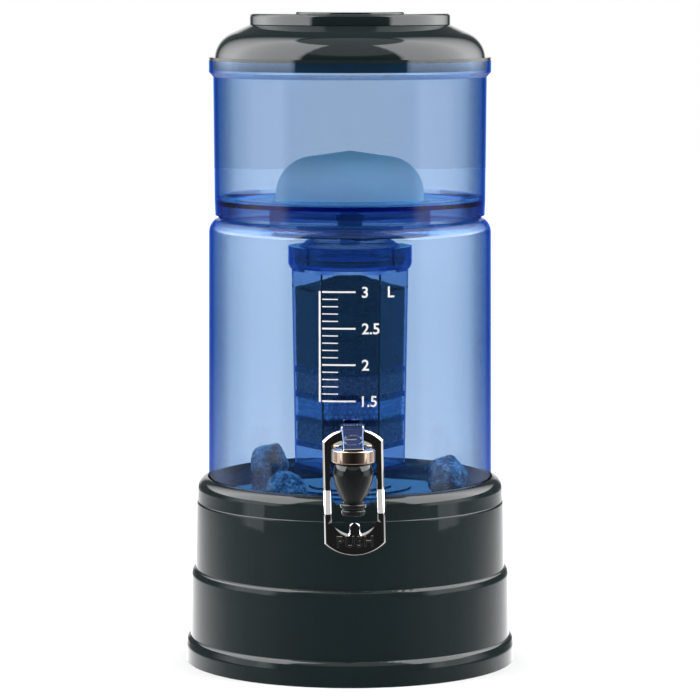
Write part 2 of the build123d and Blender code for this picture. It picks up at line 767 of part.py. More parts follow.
def make_tap_cap():
    crown_z = ring_top_z + cap_dome_h
    dome_round = (cap_dome_r ** 2 + cap_dome_h ** 2) / (2 * cap_dome_h)
    middle_r = cap_dome_r / 2
    between_z = crown_z - dome_round + sqrt(dome_round ** 2 - middle_r ** 2)
    crown = ThreePointArc((0, crown_z), (middle_r, between_z), (cap_dome_r, ring_top_z))
    guide_r = plunger_rod_r + guide_gap
    floor_top_z = body_top_z + cap_floor_t
    steps = [(cap_dome_r, ring_top_z), (cap_r, ring_top_z), (cap_r, ring_z), (bulb_top_r, ring_z)]
    steps += [(bulb_top_r, body_top_z), (guide_r, body_top_z), (guide_r, floor_top_z), (0, floor_top_z)]
    steps.append((0, crown_z))
    cap = Pos(0, spout_y, 0) * revolve(Plane.XZ * make_face([crown, Polyline(*steps)]), Axis.Z)
    slot_half = tongue_half_w + slot_gap
    slot = block((-slot_half, slot_half), (spout_y - cap_dome_r - past, spout_y + cap_slot_back),
                 (floor_top_z, crown_z + past))
    return cap - slot - hinge_pin_solid()


def hinge_pin_solid():
    """Pin across the cap, in front of the spout's axis, held in by the collar ring."""
    half = sqrt(cap_r ** 2 - (pivot_front + hinge_pin_r) ** 2)
    return cross_cylinder(hinge_pin_r, half, pivot_y, pivot_z)


def make_valve_seal():
    low = middle_z - seat_drop
    return upright(seal_r, low, low + seal_t, spout_y)


def ball_z():
    """Centre of the plunger's ball, under the tongue."""
    return tongue_under_z(spout_y) - ball_gap - ball_r


def make_plunger():
    low = middle_z - seat_drop + seal_t
    step_z = low + plunger_step_rise
    plunger = upright(plunger_flange_r, low, low + plunger_flange_t, spout_y)
    plunger += upright(plunger_r, low, step_z, spout_y)
    plunger += upright(plunger_rod_r, step_z, ball_z(), spout_y)
    return plunger + Pos(0, spout_y, ball_z()) * Sphere(ball_r)


def make_spring():
    low = middle_z - seat_drop + seal_t + plunger_flange_t + spring_wire_r
    high = body_top_z - spring_wire_r
    height = high - low
    path = Pos(0, spout_y, low) * Helix(height / spring_turns, height, spring_r)
    wire = Plane(path @ 0, z_dir=path % 0) * Circle(spring_wire_r)
    return sweep(wire, path, is_frenet=True)


# ---------------------------------------------------------------- push lever

def lever_sheet():
    """Bent sheet across the whole width: upper plate, forward jog, lower plate."""
    front_y = spout_y + ring_r + lever_gap
    low_y = front_y - lever_jog
    top, bottom = middle_z + lever_arch_rise, middle_z - lever_bottom_drop
    jog_top, jog_low = middle_z - lever_jog_top_drop, middle_z - lever_jog_low_drop
    points = [(front_y, top), (front_y, jog_top), (low_y, jog_low), (low_y, bottom)]
    points += [(low_y + lever_t, bottom), (low_y + lever_t, jog_low), (front_y + lever_t, jog_top)]
    points += [(front_y + lever_t, top)]
    face = Plane.YZ * make_face(Polyline(*points, close=True))
    return Pos(-lever_half_w, 0, 0) * extrude(face, 2 * lever_half_w)


def lever_outline():
    """Front view of the lever's plate: arched top, straight sides, arc at the bottom."""
    shoulder, crown = middle_z + lever_shoulder_rise, middle_z + lever_arch_rise
    low_shoulder, bottom = middle_z - lever_low_shoulder_drop, middle_z - lever_bottom_drop
    half = lever_half_w
    arch = ThreePointArc((-half, shoulder), (0, crown), (half, shoulder))
    right = Line((half, shoulder), (half, low_shoulder))
    foot = ThreePointArc((half, low_shoulder), (0, bottom), (-half, low_shoulder))
    left = Line((-half, low_shoulder), (-half, shoulder))
    return make_face([arch, right, foot, left])


def lever_window():
    """Opening of the lever: wide between the rails, with a slot above for the tap's barrel."""
    half = lever_half_w - lever_rail_w
    top, side = middle_z + lever_window_rise, middle_z - lever_arc_side_drop
    sill = ThreePointArc((-half, side), (0, middle_z - lever_arc_mid_drop), (half, side))
    frame = make_face([sill, Polyline((half, side), (half, top), (-half, top), (-half, side))])
    frame = fillet(frame.vertices().sort_by(Axis.Y)[-2:], window_corner)
    slot_top = middle_z + lever_slot_rise
    slot_low = middle_z - lever_window_rise
    slot = Pos(0, (slot_top + slot_low) / 2) * Rectangle(2 * lever_slot_half_w, slot_top - slot_low)
    slot = fillet(slot.vertices().sort_by(Axis.Y)[-2:], window_corner)
    tab_z = middle_z - lever_tab_drop - lever_tab_half_w
    tab_low = middle_z - lever_arc_mid_drop
    tab = Pos(0, tab_z) * Circle(lever_tab_half_w)
    tab += Pos(0, (tab_z + tab_low) / 2) * Rectangle(2 * lever_tab_half_w, tab_z - tab_low)
    return frame + slot - tab


def tongue_z(y):
    """Upper face of the sloping tongue at a place along Y."""
    return middle_z + tongue_face_rise + (y - spout_y) * tan(radians(tongue_slope))


def tongue_under_z(y):
    """Lower face of the tongue at a place along Y."""
    return tongue_z(y) - tongue_t / cos(radians(tongue_slope))


def tongue_back_y():
    """End of the thumb tab, behind the upper plate."""
    return spout_y + ring_r + lever_gap + lever_t + thumb_reach


def make_tongue():
    """Strap from the hinge knuckle, up over the cap, to the thumb tab behind the plate."""
    back_y, fork_y = tongue_back_y(), spout_y - fork_len / 2
    points = [(pivot_y, pivot_z - knuckle_r / 2), (pivot_y, tongue_z(pivot_y)), (back_y, tongue_z(back_y))]
    points += [(back_y, tongue_under_z(back_y)), (fork_y, tongue_under_z(fork_y))]
    face = Plane.YZ * make_face(Polyline(*points, close=True))
    tongue = Pos(-tongue_half_w, 0, 0) * extrude(face, 2 * tongue_half_w)
    return tongue + cross_cylinder(knuckle_r, tongue_half_w, pivot_y, pivot_z)


def make_fork():
    """Two hooks under the tongue that hold the plunger's ball."""
    front, back = spout_y - fork_len / 2, spout_y + fork_len / 2
    pocket_low = ball_z() - ball_r - ball_gap
    low = pocket_low - fork_hook_t
    points = [(front, low), (back, low), (back, tongue_under_z(back)), (front, tongue_under_z(front))]
    face = Plane.YZ * make_face(Polyline(*points, close=True))
    fork = Pos(-fork_half_w, 0, 0) * extrude(face, 2 * fork_half_w)
    pocket_half = ball_r + fork_slot_gap
    top = tongue_z(back)
    pocket = block((-pocket_half, pocket_half), (front - ball_r, back + ball_r), (pocket_low, top))
    rod_half = plunger_rod_r + fork_slot_gap
    return fork - pocket - block((-rod_half, rod_half), (front - ball_r, back + ball_r), (low, top))


def make_push_lever():
    front_view = Plane.XZ * (lever_outline() - lever_window())
    lever = lever_sheet() & extrude(front_view, -spout_y + ring_r + past)
    lever += make_tongue()
    lever += make_fork()
    slope = Rot(tongue_slope, 0, 0)
    dimple_y = spout_y + dimple_back
    lever -= Pos(0, dimple_y, tongue_z(dimple_y)) * slope * Cylinder(dimple_r, 2 * dimple_depth)
    pitch = 2 * tongue_half_w / (thumb_rib_count + 1)
    groove = slope * Rot(90, 0, 0) * Cylinder(thumb_groove_r, 2 * thumb_reach)
    for i in range(thumb_rib_count):
        x = (i - (thumb_rib_count - 1) / 2) * pitch
        lever -= Pos(x, tongue_back_y(), tongue_z(tongue_back_y())) * groove
    return lever - cross_cylinder(hinge_pin_r + pin_gap, tongue_half_w + past, pivot_y, pivot_z)


# ---------------------------------------------------------------- export

nodes = {
    "base_stand": make_base_stand(),
    "lower_tank": make_lower_tank(),
    "mineral_stone_left": make_stone(stone_left_half, stone_left_angle, stone_left_gap, stone_left_turn),
    "mineral_stone_front": make_stone(stone_front_half, stone_front_angle, stone_front_gap, stone_front_turn),
    "mineral_stone_right": make_stone(stone_right_half, stone_right_angle, stone_right_gap, stone_right_turn),
    "tap_body": make_tap_body(),
    "tap_nozzle": make_tap_nozzle(),
    "tap_collar_ring": make_collar_ring(),
    "tap_cap": make_tap_cap(),
    "tap_outer_gasket": make_tap_gasket(pad_y - tap_gasket_t, tap_flange_r),
    "tap_inner_gasket": make_tap_gasket(pad_inner_y, tap_flange_r),
    "tap_nut": make_tap_nut(),
    "tap_spring": make_spring(),
    "lever_pin": hinge_pin_solid(),
    "push_lever": make_push_lever(),
    "tap_plunger": make_plunger(),
    "valve_seal": make_valve_seal(),
    "upper_tank": make_upper_tank(),
    "ceramic_dome": make_dome_filter(),
    "dome_plate": make_dome_plate(),
    "dome_gasket": make_dome_gasket(),
    "stem_washer": make_stem_washer(),
    "stem_nut": make_stem_nut(),
    "cartridge_jar": make_cartridge_jar(),
    "cartridge_gasket": make_cartridge_gasket(),
    "cartridge_screen": make_cartridge_screen(),
    "carbon_fill": make_carbon_fill(),
    "outlet_cap": make_outlet_cap(),
    "cartridge_nut": make_cartridge_nut(),
    "lid_shell": make_lid_shell(),
    "lid_grip": make_lid_grip(),
    "lid_badge": make_lid_badge(),
}
for layer, name in enumerate(("lower_granules", "ceramic_beads", "upper_granules")):
    nodes[name] = make_layer(layer)
for index in range(layer_count + 1):
    nodes[f"divider_{index + 1}"] = make_divider(index)

os.makedirs("parts", exist_ok=True)
for name, shape in nodes.items():
    export_step(shape, f"parts/{name}.step")
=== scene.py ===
# Gravity water filter with a push tap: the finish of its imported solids, and its detailed pieces.
# Metres, +Z up. The tap faces -Y, and the foot stands on z = 0. Sizes of the pieces made here are in
# millimetres, and MM takes them to metres.
from math import asin, cos, exp, hypot, pi, radians, sin, sqrt, tan
from random import Random

import bmesh
import bpy
from mathutils import Euler, Matrix, Vector, noise


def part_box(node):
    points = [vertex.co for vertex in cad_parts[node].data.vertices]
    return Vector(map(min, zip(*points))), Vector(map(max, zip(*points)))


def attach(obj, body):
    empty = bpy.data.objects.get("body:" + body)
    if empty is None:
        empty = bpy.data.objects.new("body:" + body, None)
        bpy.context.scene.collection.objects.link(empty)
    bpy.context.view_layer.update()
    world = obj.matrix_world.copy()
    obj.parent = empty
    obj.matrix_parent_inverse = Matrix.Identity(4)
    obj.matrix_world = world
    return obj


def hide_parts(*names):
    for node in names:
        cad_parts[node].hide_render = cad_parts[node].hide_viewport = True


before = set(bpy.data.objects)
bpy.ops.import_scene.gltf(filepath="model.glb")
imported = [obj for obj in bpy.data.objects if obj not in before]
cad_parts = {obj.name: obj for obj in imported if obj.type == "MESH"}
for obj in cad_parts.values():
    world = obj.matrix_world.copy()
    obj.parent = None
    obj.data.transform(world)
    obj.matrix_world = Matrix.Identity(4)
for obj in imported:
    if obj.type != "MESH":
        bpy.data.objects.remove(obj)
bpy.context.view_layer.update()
scene = bpy.context.scene
MM = 0.001


# ---------------------------------------------------------------- camera and studio

CAMERA_DISTANCE = 2.342
CAMERA_HEIGHT = 0.4464
CAMERA_SIDE = radians(-0.915)
CAMERA_TILT = radians(5.945)
CAMERA_LENS = 185.69
CAMERA_REACH = 30

FLOOR_REACH = 6.0
FLOOR_COLOUR = (0.86, 0.86, 0.86)
LIFT_PLACE = 0.1                            # a place on the lift's scale for each metre from the filter
FLOOR_LIFT = ((0.05, 0.06), (0.35, 0.6))    # added to the floor where it is seen

# Levels over a direction's place from the front (0) to the back (1)
SOFT_LIGHT = ((0.0, 0.40), (0.3, 0.6), (0.6, 0.85), (1.0, 0.95))
ROOM_GLOSS = ((0.0, 0.010), (0.12, 0.015), (0.5, 0.05), (0.9, 0.05), (0.975, 0.1), (0.99, 1.0))
FLOOR_FAR = ((0.0, 0.006), (0.03, 0.015), (0.12, 0.03), (0.25, 0.08),
             (0.41, 0.10), (0.59, 0.08), (0.75, 0.06), (0.97, 0.1))
FLOOR_NEAR = ((0.0, 0.006), (0.03, 0.01), (0.12, 0.04), (0.25, 0.10),
              (0.41, 0.16), (0.59, 0.38), (0.75, 0.7), (0.97, 1.0))
FLOOR_GAIN = 2.0

# Shares over a direction's height, as its Z plus a half
ABOVE_FLOOR = ((0.42, 0.0), (0.46, 1.0))
NEAR_FLOOR = ((0.32, 1.0), (0.40, 0.0))

# Soft patches of the room: a direction, and levels over how nearly a ray keeps to it
PATCHES = (
    ((0.0, -0.42, 0.91), ((0.70, 0.0), (0.77, 0.68))),
    ((0.0, -0.1, -0.995), ((0.93, 0.0), (0.97, 0.8))),
)

# What rays see that the clear tanks have turned inside them
INNER_TINT = (0.25, 0.65, 1.0)
INNER_LEVEL = 0.75

# Light screens: azimuths from the tap's side in degrees, heights, strength, lean in degrees, fade at each
# edge as a share of the width, and distance
SCREENS = {
    "side_screen": ((44, 150), (0.35, 2.6), 5.0, 16, (0.04, 0.35), 1.0),
    "low_screen": ((50, 108), (0.02, 0.36), 1.4, 0, (0.15, 0.4), 1.0),
    "tap_screen": ((62, 84), (0.036, 0.10), 1.0, 0, (0.06, 0.3), 0.6),
}
SCREEN_ACROSS, SCREEN_UP = 40, 20
SCREEN_END_FADE = 0.05      # share of a screen's height over which its foot and its top fade
SCREEN_CROWD = 1.5          # rows of a screen crowd to its foot by this power

LAMP_SIZE = 1.2
SIDE_LAMP, SIDE_POWER = (1.75, -0.45, 1.1), 30
TOP_LAMP, TOP_POWER = (0, 0.2, 2.2), 18
LAMP_AIM = Vector((0, 0, 0.2))


def make_camera():
    data = bpy.data.cameras.new("camera")
    data.lens = CAMERA_LENS
    data.clip_end = CAMERA_REACH
    camera = bpy.data.objects.new("camera", data)
    across, back = sin(CAMERA_SIDE) * CAMERA_DISTANCE, cos(CAMERA_SIDE) * CAMERA_DISTANCE
    camera.location = (across, -back, CAMERA_HEIGHT)
    camera.rotation_euler = (pi / 2 - CAMERA_TILT, 0, CAMERA_SIDE)
    scene.collection.objects.link(camera)
    scene.camera = camera


def clamp(value):
    """Value held between 0 and 1."""
    return max(0.0, min(1.0, value))


def math_node(tree, kind, *values):
    """Math node; each input is a socket or a number."""
    node = tree.nodes.new("ShaderNodeMath")
    node.operation = kind
    for socket, value in zip(node.inputs, values):
        if isinstance(value, bpy.types.NodeSocket):
            tree.links.new(value, socket)
        else:
            socket.default_value = value
    return node.outputs[0]


def ramp_node(tree, value, stops):
    """Colour ramp over a value; each stop is a position and a grey or a colour."""
    node = tree.nodes.new("ShaderNodeValToRGB")
    points = node.color_ramp.elements
    while len(points) < len(stops):
        points.new(0.5)
    for point, (position, colour) in zip(points, stops):
        point.position = position
        point.color = (colour, colour, colour, 1) if isinstance(colour, float) else (*colour, 1)
    tree.links.new(value, node.inputs["Fac"])
    return node.outputs["Color"]


def one_colour(tree, kind, colour):
    """Shader node of a plain colour."""
    node = tree.nodes.new(kind)
    node.inputs["Color"].default_value = (*colour, 1)
    return node


def mix_shaders(tree, share, first, second):
    """Shader that goes from the first to the second by a share."""
    node = tree.nodes.new("ShaderNodeMixShader")
    for socket, value in zip(node.inputs, (share, first, second)):
        tree.links.new(value, socket)
    return node.outputs[0]


def bare_material(name):
    """Material with nothing in it but its output."""
    material = bpy.data.materials.new(name)
    material.use_nodes = True
    tree = material.node_tree
    tree.nodes.clear()
    return material, tree, tree.nodes.new("ShaderNodeOutputMaterial")


def after_reflection(tree):
    """1 for rays that a glossy surface has turned, and 0 for the rest."""
    path = tree.nodes.new("ShaderNodeLightPath")
    return math_node(tree, "GREATER_THAN", path.outputs["Glossy Depth"], 0.5)


def after_entering(tree):
    """1 for rays that have gone into a clear piece, and 0 for the rest."""
    path = tree.nodes.new("ShaderNodeLightPath")
    return math_node(tree, "GREATER_THAN", path.outputs["Transmission Depth"], 0.5)


def seen_straight(tree):
    """1 for rays from the eye, also through clear pieces, and 0 for the rest."""
    path = tree.nodes.new("ShaderNodeLightPath")
    return math_node(tree, "MAXIMUM", path.outputs["Is Camera Ray"], path.outputs["Is Transmission Ray"])


def inner_tint(tree):
    """White, or the tone of light that the tanks have turned inside them."""
    inside = math_node(tree, "MULTIPLY", after_entering(tree), after_reflection(tree))
    return ramp_node(tree, inside, ((0.0, (1.0, 1.0, 1.0)), (1.0, INNER_TINT)))


def floor_gloss(tree, back, rise):
    """Level of the floor for rays that the gloss turns down."""
    near = ramp_node(tree, rise, NEAR_FLOOR)
    near_part = math_node(tree, "MULTIPLY", ramp_node(tree, back, FLOOR_NEAR), near)
    far = math_node(tree, "SUBTRACT", 1.0, near)
    far_part = math_node(tree, "MULTIPLY", ramp_node(tree, back, FLOOR_FAR), far)
    return math_node(tree, "MULTIPLY", math_node(tree, "ADD", near_part, far_part), FLOOR_GAIN)


def room_gloss(tree, place):
    """Level of the room for rays that the gloss turns: dark in front, with a floor and soft patches."""
    split = tree.nodes.new("ShaderNodeSeparateXYZ")
    tree.links.new(place, split.inputs[0])
    back = math_node(tree, "MULTIPLY_ADD", split.outputs["Y"], 0.5, 0.5)
    rise = math_node(tree, "ADD", split.outputs["Z"], 0.5)
    above = ramp_node(tree, rise, ABOVE_FLOOR)
    room = math_node(tree, "MULTIPLY", ramp_node(tree, back, ROOM_GLOSS), above)
    below = math_node(tree, "SUBTRACT", 1.0, above)
    floor = math_node(tree, "MULTIPLY", floor_gloss(tree, back, rise), below)
    gloss = math_node(tree, "ADD", room, floor)
    for way, stops in PATCHES:
        facing = tree.nodes.new("ShaderNodeVectorMath")
        facing.operation = "DOT_PRODUCT"
        tree.links.new(place, facing.inputs[0])
        facing.inputs[1].default_value = way
        gloss = math_node(tree, "MAXIMUM", gloss, ramp_node(tree, facing.outputs["Value"], stops))
    inner = math_node(tree, "MULTIPLY", after_entering(tree), INNER_LEVEL)
    return math_node(tree, "MAXIMUM", gloss, inner), back


def make_world():
    """White where it is seen, soft on the pieces, and a room with a dark front for what the gloss turns."""
    world = bpy.data.worlds.new("studio")
    scene.world = world
    world.use_nodes = True
    tree = world.node_tree
    background = tree.nodes["Background"]
    gloss, back = room_gloss(tree, tree.nodes.new("ShaderNodeTexCoord").outputs["Generated"])
    turned = after_reflection(tree)
    straight = math_node(tree, "SUBTRACT", 1.0, turned)
    seen = math_node(tree, "MULTIPLY", seen_straight(tree), straight)
    rest = math_node(tree, "SUBTRACT", straight, seen)
    soft = math_node(tree, "MULTIPLY", rest, ramp_node(tree, back, SOFT_LIGHT))
    level = math_node(tree, "ADD", seen, math_node(tree, "MULTIPLY", turned, gloss))
    tree.links.new(math_node(tree, "ADD", level, soft), background.inputs["Strength"])
    tree.links.new(inner_tint(tree), background.inputs["Color"])


def object_from(name, vertices, faces, material, smooth=True):
    """Mesh object from points and faces."""
    mesh = bpy.data.meshes.new(name)
    mesh.from_pydata(vertices, [], faces)
    mesh.validate()
    mesh.polygons.foreach_set("use_smooth", [smooth] * len(mesh.polygons))
    mesh.materials.append(material)
    made = bpy.data.objects.new(name, mesh)
    scene.collection.objects.link(made)
    return made


def make_floor():
    """Pale floor that lifts to white away from the filter, and that reflections look through."""
    material, tree, out = bare_material("floor")
    matt = one_colour(tree, "ShaderNodeBsdfDiffuse", FLOOR_COLOUR)
    lift = tree.nodes.new("ShaderNodeEmission")
    away = tree.nodes.new("ShaderNodeVectorMath")
    away.operation = "LENGTH"
    tree.links.new(tree.nodes.new("ShaderNodeTexCoord").outputs["Object"], away.inputs[0])
    amount = ramp_node(tree, math_node(tree, "MULTIPLY", away.outputs["Value"], LIFT_PLACE), FLOOR_LIFT)
    tree.links.new(math_node(tree, "MULTIPLY", seen_straight(tree), amount), lift.inputs["Strength"])
    both = tree.nodes.new("ShaderNodeAddShader")
    tree.links.new(matt.outputs[0], both.inputs[0])
    tree.links.new(lift.outputs[0], both.inputs[1])
    clear = tree.nodes.new("ShaderNodeBsdfTransparent")
    surface = mix_shaders(tree, after_reflection(tree), both.outputs[0], clear.outputs[0])
    tree.links.new(surface, out.inputs["Surface"])
    corners = [(x * FLOOR_REACH, y * FLOOR_REACH, 0) for x, y in ((-1, -1), (1, -1), (1, 1), (-1, 1))]
    floor = object_from("floor", corners, [(0, 1, 2, 3)], material)
    floor.visible_glossy = False


def glow_material(name, strength):
    """Light screen that only reflections show, with the fading edges that its mesh says."""
    material, tree, out = bare_material(name)
    glow = tree.nodes.new("ShaderNodeEmission")
    glow.inputs["Strength"].default_value = strength
    tree.links.new(inner_tint(tree), glow.inputs["Color"])
    edge = tree.nodes.new("ShaderNodeAttribute")
    edge.attribute_name = "glow"
    clear = tree.nodes.new("ShaderNodeBsdfTransparent")
    share = math_node(tree, "MULTIPLY", edge.outputs["Fac"], after_reflection(tree))
    tree.links.new(mix_shaders(tree, share, clear.outputs[0], glow.outputs[0]), out.inputs["Surface"])
    return material


def make_screen(name, sign, azimuths, heights, strength, lean, fade, reach):
    """Upright curved screen on one side of the filter; its inner edge leans in as it rises."""
    vertices, glow, faces = [], [], []
    for j in range(SCREEN_UP + 1):
        v = j / SCREEN_UP
        height = heights[0] + (heights[1] - heights[0]) * v ** SCREEN_CROWD
        inner = azimuths[0] - lean * v
        for i in range(SCREEN_ACROSS + 1):
            u = i / SCREEN_ACROSS
            turn = radians(sign * (inner + (azimuths[1] - inner) * u))
            vertices.append((sin(turn) * reach, -cos(turn) * reach, height))
            side_fade = min(u / fade[0], (1 - u) / fade[1])
            glow.append(clamp(min(side_fade, v / SCREEN_END_FADE, (1 - v) / SCREEN_END_FADE)))
    for j in range(SCREEN_UP):
        for i in range(SCREEN_ACROSS):
            a = j * (SCREEN_ACROSS + 1) + i
            faces.append((a, a + 1, a + SCREEN_ACROSS + 2, a + SCREEN_ACROSS + 1))
    screen = object_from(name, vertices, faces, glow_material(name, strength))
    screen.data.attributes.new("glow", "FLOAT", "POINT").data.foreach_set("value", glow)
    screen.visible_camera = False
    screen.visible_diffuse = False
    screen.visible_volume_scatter = False
    screen.visible_shadow = False


def make_lamp(name, place, power):
    """Soft square lamp that faces the middle of the filter."""
    data = bpy.data.lights.new(name, "AREA")
    data.shape = "SQUARE"
    data.size = LAMP_SIZE
    data.energy = power
    lamp = bpy.data.objects.new(name, data)
    lamp.location = place
    lamp.rotation_euler = (LAMP_AIM - Vector(place)).to_track_quat("-Z", "Y").to_euler()
    lamp.visible_glossy = False
    lamp.visible_transmission = False
    lamp.visible_camera = False
    scene.collection.objects.link(lamp)


def make_studio():
    make_camera()
    make_world()
    make_floor()
    for side, sign in (("left", -1), ("right", 1)):
        for name, screen in SCREENS.items():
            make_screen(f"{name}_{side}", sign, *screen)
        make_lamp(f"lamp_{side}", (sign * SIDE_LAMP[0], *SIDE_LAMP[1:]), SIDE_POWER)
    make_lamp("lamp_top", TOP_LAMP, TOP_POWER)


# ---------------------------------------------------------------- shader parts

def value_group(name, inputs, outputs):
    """Node group with named value sockets, and nothing between them yet."""
    group = bpy.data.node_groups.new(name, "ShaderNodeTree")
    for label, default in inputs:
        socket = group.interface.new_socket(label, in_out="INPUT", socket_type="NodeSocketFloat")
        socket.default_value = default
    for label in outputs:
        group.interface.new_socket(label, in_out="OUTPUT", socket_type="NodeSocketFloat")
    return group, group.nodes.new("NodeGroupInput"), group.nodes.new("NodeGroupOutput")


PEEL_DETAIL, SMUDGE_DETAIL = 2.0, 4.0
SMUDGE_STOPS = ((0.45, 0.0), (0.75, 1.0))
STREAK_SCALE, STREAK_STRETCH = 60.0, (1.0, 1.0, 0.08)       # long streaks up the piece
STREAK_TONE, SMUDGE_TONE = 0.97, 0.93       # shares of a colour where streaks or smudges dull it
GRAIN_SHARE = 0.35                          # of a loose grain's tone that its skin gives


def noise_value(tree, scale, detail, stretch=None):
    """Noise over the piece's own coordinates; the scale is a number or a socket."""
    place = tree.nodes.new("ShaderNodeTexCoord").outputs["Object"]
    if stretch is not None:
        mapping = tree.nodes.new("ShaderNodeMapping")
        mapping.inputs["Scale"].default_value = stretch
        tree.links.new(place, mapping.inputs["Vector"])
        place = mapping.outputs["Vector"]
    node = tree.nodes.new("ShaderNodeTexNoise")
    tree.links.new(place, node.inputs["Vector"])
    node.inputs["Detail"].default_value = detail
    if isinstance(scale, bpy.types.NodeSocket):
        tree.links.new(scale, node.inputs["Scale"])
    else:
        node.inputs["Scale"].default_value = scale
    return node.outputs["Fac"]


def make_moulded_group():
    """Moulded skin: a faint orange peel for height, and soft handling smudges for roughness."""
    group, given, result = value_group("moulded_skin", [("Peel Scale", 400.0), ("Smudge Scale", 18.0)],
                                       ["Peel", "Smudge", "Streak"])
    peel = noise_value(group, given.outputs["Peel Scale"], PEEL_DETAIL)
    broad = noise_value(group, given.outputs["Smudge Scale"], SMUDGE_DETAIL)
    streak = noise_value(group, STREAK_SCALE, PEEL_DETAIL, STREAK_STRETCH)
    group.links.new(peel, result.inputs["Peel"])
    group.links.new(ramp_node(group, broad, SMUDGE_STOPS), result.inputs["Smudge"])
    group.links.new(streak, result.inputs["Streak"])
    return group


def make_grain_group():
    """Mineral grain: cells of their own tone, and pits between them."""
    group, given, result = value_group("mineral_grain", [("Grain Scale", 900.0)], ["Tone", "Pits"])
    place = group.nodes.new("ShaderNodeTexCoord")
    cells = group.nodes.new("ShaderNodeTexVoronoi")
    group.links.new(place.outputs["Object"], cells.inputs["Vector"])
    group.links.new(given.outputs["Grain Scale"], cells.inputs["Scale"])
    split = group.nodes.new("ShaderNodeSeparateColor")
    group.links.new(cells.outputs["Color"], split.inputs[0])
    group.links.new(split.outputs[0], result.inputs["Tone"])
    group.links.new(cells.outputs["Distance"], result.inputs["Pits"])
    return group


MOULDED = make_moulded_group()
GRAIN = make_grain_group()


def place_group(tree, group, **values):
    node = tree.nodes.new("ShaderNodeGroup")
    node.node_tree = group
    for label, value in values.items():
        node.inputs[label.replace("_", " ")].default_value = value
    return node


def plain_material(name, colour, **sockets):
    """Principled material; other sockets by name with underscores."""
    material = bpy.data.materials.new(name)
    material.use_nodes = True
    shader = material.node_tree.nodes["Principled BSDF"]
    shader.inputs["Base Color"].default_value = (*colour, 1)
    for label, value in sockets.items():
        shader.inputs[label.replace("_", " ")].default_value = value
    material.diffuse_color = (*colour, 1)
    return material, material.node_tree, shader


def spread(tree, value, low, high):
    """Value from 0 to 1 taken to a range."""
    node = tree.nodes.new("ShaderNodeMapRange")
    tree.links.new(value, node.inputs["Value"])
    node.inputs["To Min"].default_value = low
    node.inputs["To Max"].default_value = high
    return node.outputs["Result"]


def blend_colours(tree, value, low, high):
    """Colour between two by a value from 0 to 1."""
    return ramp_node(tree, value, ((0.0, low), (1.0, high)))


def raise_surface(tree, shader, height, strength, depth):
    """Bump from a height of 0 to 1; the depth is in metres."""
    bump = tree.nodes.new("ShaderNodeBump")
    bump.inputs["Strength"].default_value = strength
    bump.inputs["Distance"].default_value = depth
    tree.links.new(height, bump.inputs["Height"])
    tree.links.new(bump.outputs["Normal"], shader.inputs["Normal"])


def gloss_plastic(name, dark, light, rough_low, rough_high):
    """Opaque glossy moulding."""
    material, tree, shader = plain_material(name, dark, Metallic=0.0)
    skin = place_group(tree, MOULDED, Peel_Scale=420.0, Smudge_Scale=16.0)
    tree.links.new(blend_colours(tree, skin.outputs["Streak"], dark, light), shader.inputs["Base Color"])
    tree.links.new(spread(tree, skin.outputs["Smudge"], rough_low, rough_high), shader.inputs["Roughness"])
    raise_surface(tree, shader, skin.outputs["Peel"], strength=0.05, depth=0.00006)
    return material


TRAPPED_DEPTH = 9.5     # bounces after which light counts as trapped in clear plastic
PLASTIC_IOR = 1.49
RIM_TINT = (0.90, 0.96, 1.0)
RIM_SHARES = ((0.50, 0.0), (0.74, 0.7), (0.9, 0.95))    # of the tint where an upright wall turns away
UPRIGHT = ((0.8, 1.0), (0.95, 0.0))     # 1 on an upright wall, and 0 on a flat floor
SHOULDER_TINT = (0.72, 0.82, 0.93)
SHOULDER_SHARES = ((0.2, 0.0), (0.35, 0.6), (0.8, 0.6), (0.92, 0.0))    # by how far the wall leans
SHOULDER_FULL = 0.5     # share at which the shoulder's tint is whole


def wall_edges(tree, body):
    """Clear wall's body, with a straight tinted view through its rim and its rounded shoulder."""
    lean = tree.nodes.new("ShaderNodeSeparateXYZ")
    tree.links.new(tree.nodes.new("ShaderNodeNewGeometry").outputs["Normal"], lean.inputs[0])
    lean = math_node(tree, "ABSOLUTE", lean.outputs["Z"])
    shoulder = ramp_node(tree, lean, SHOULDER_SHARES)
    light = tree.nodes.new("ShaderNodeBsdfTransparent")
    tint = ramp_node(tree, shoulder, ((0.0, RIM_TINT), (SHOULDER_FULL, SHOULDER_TINT)))
    tree.links.new(tint, light.inputs["Color"])
    turn = tree.nodes.new("ShaderNodeLayerWeight")
    turn.inputs["Blend"].default_value = 0.5
    rim = ramp_node(tree, turn.outputs["Facing"], RIM_SHARES)
    rim = math_node(tree, "MULTIPLY", rim, ramp_node(tree, lean, UPRIGHT))
    return mix_shaders(tree, math_node(tree, "MAXIMUM", rim, shoulder), body, light.outputs[0])


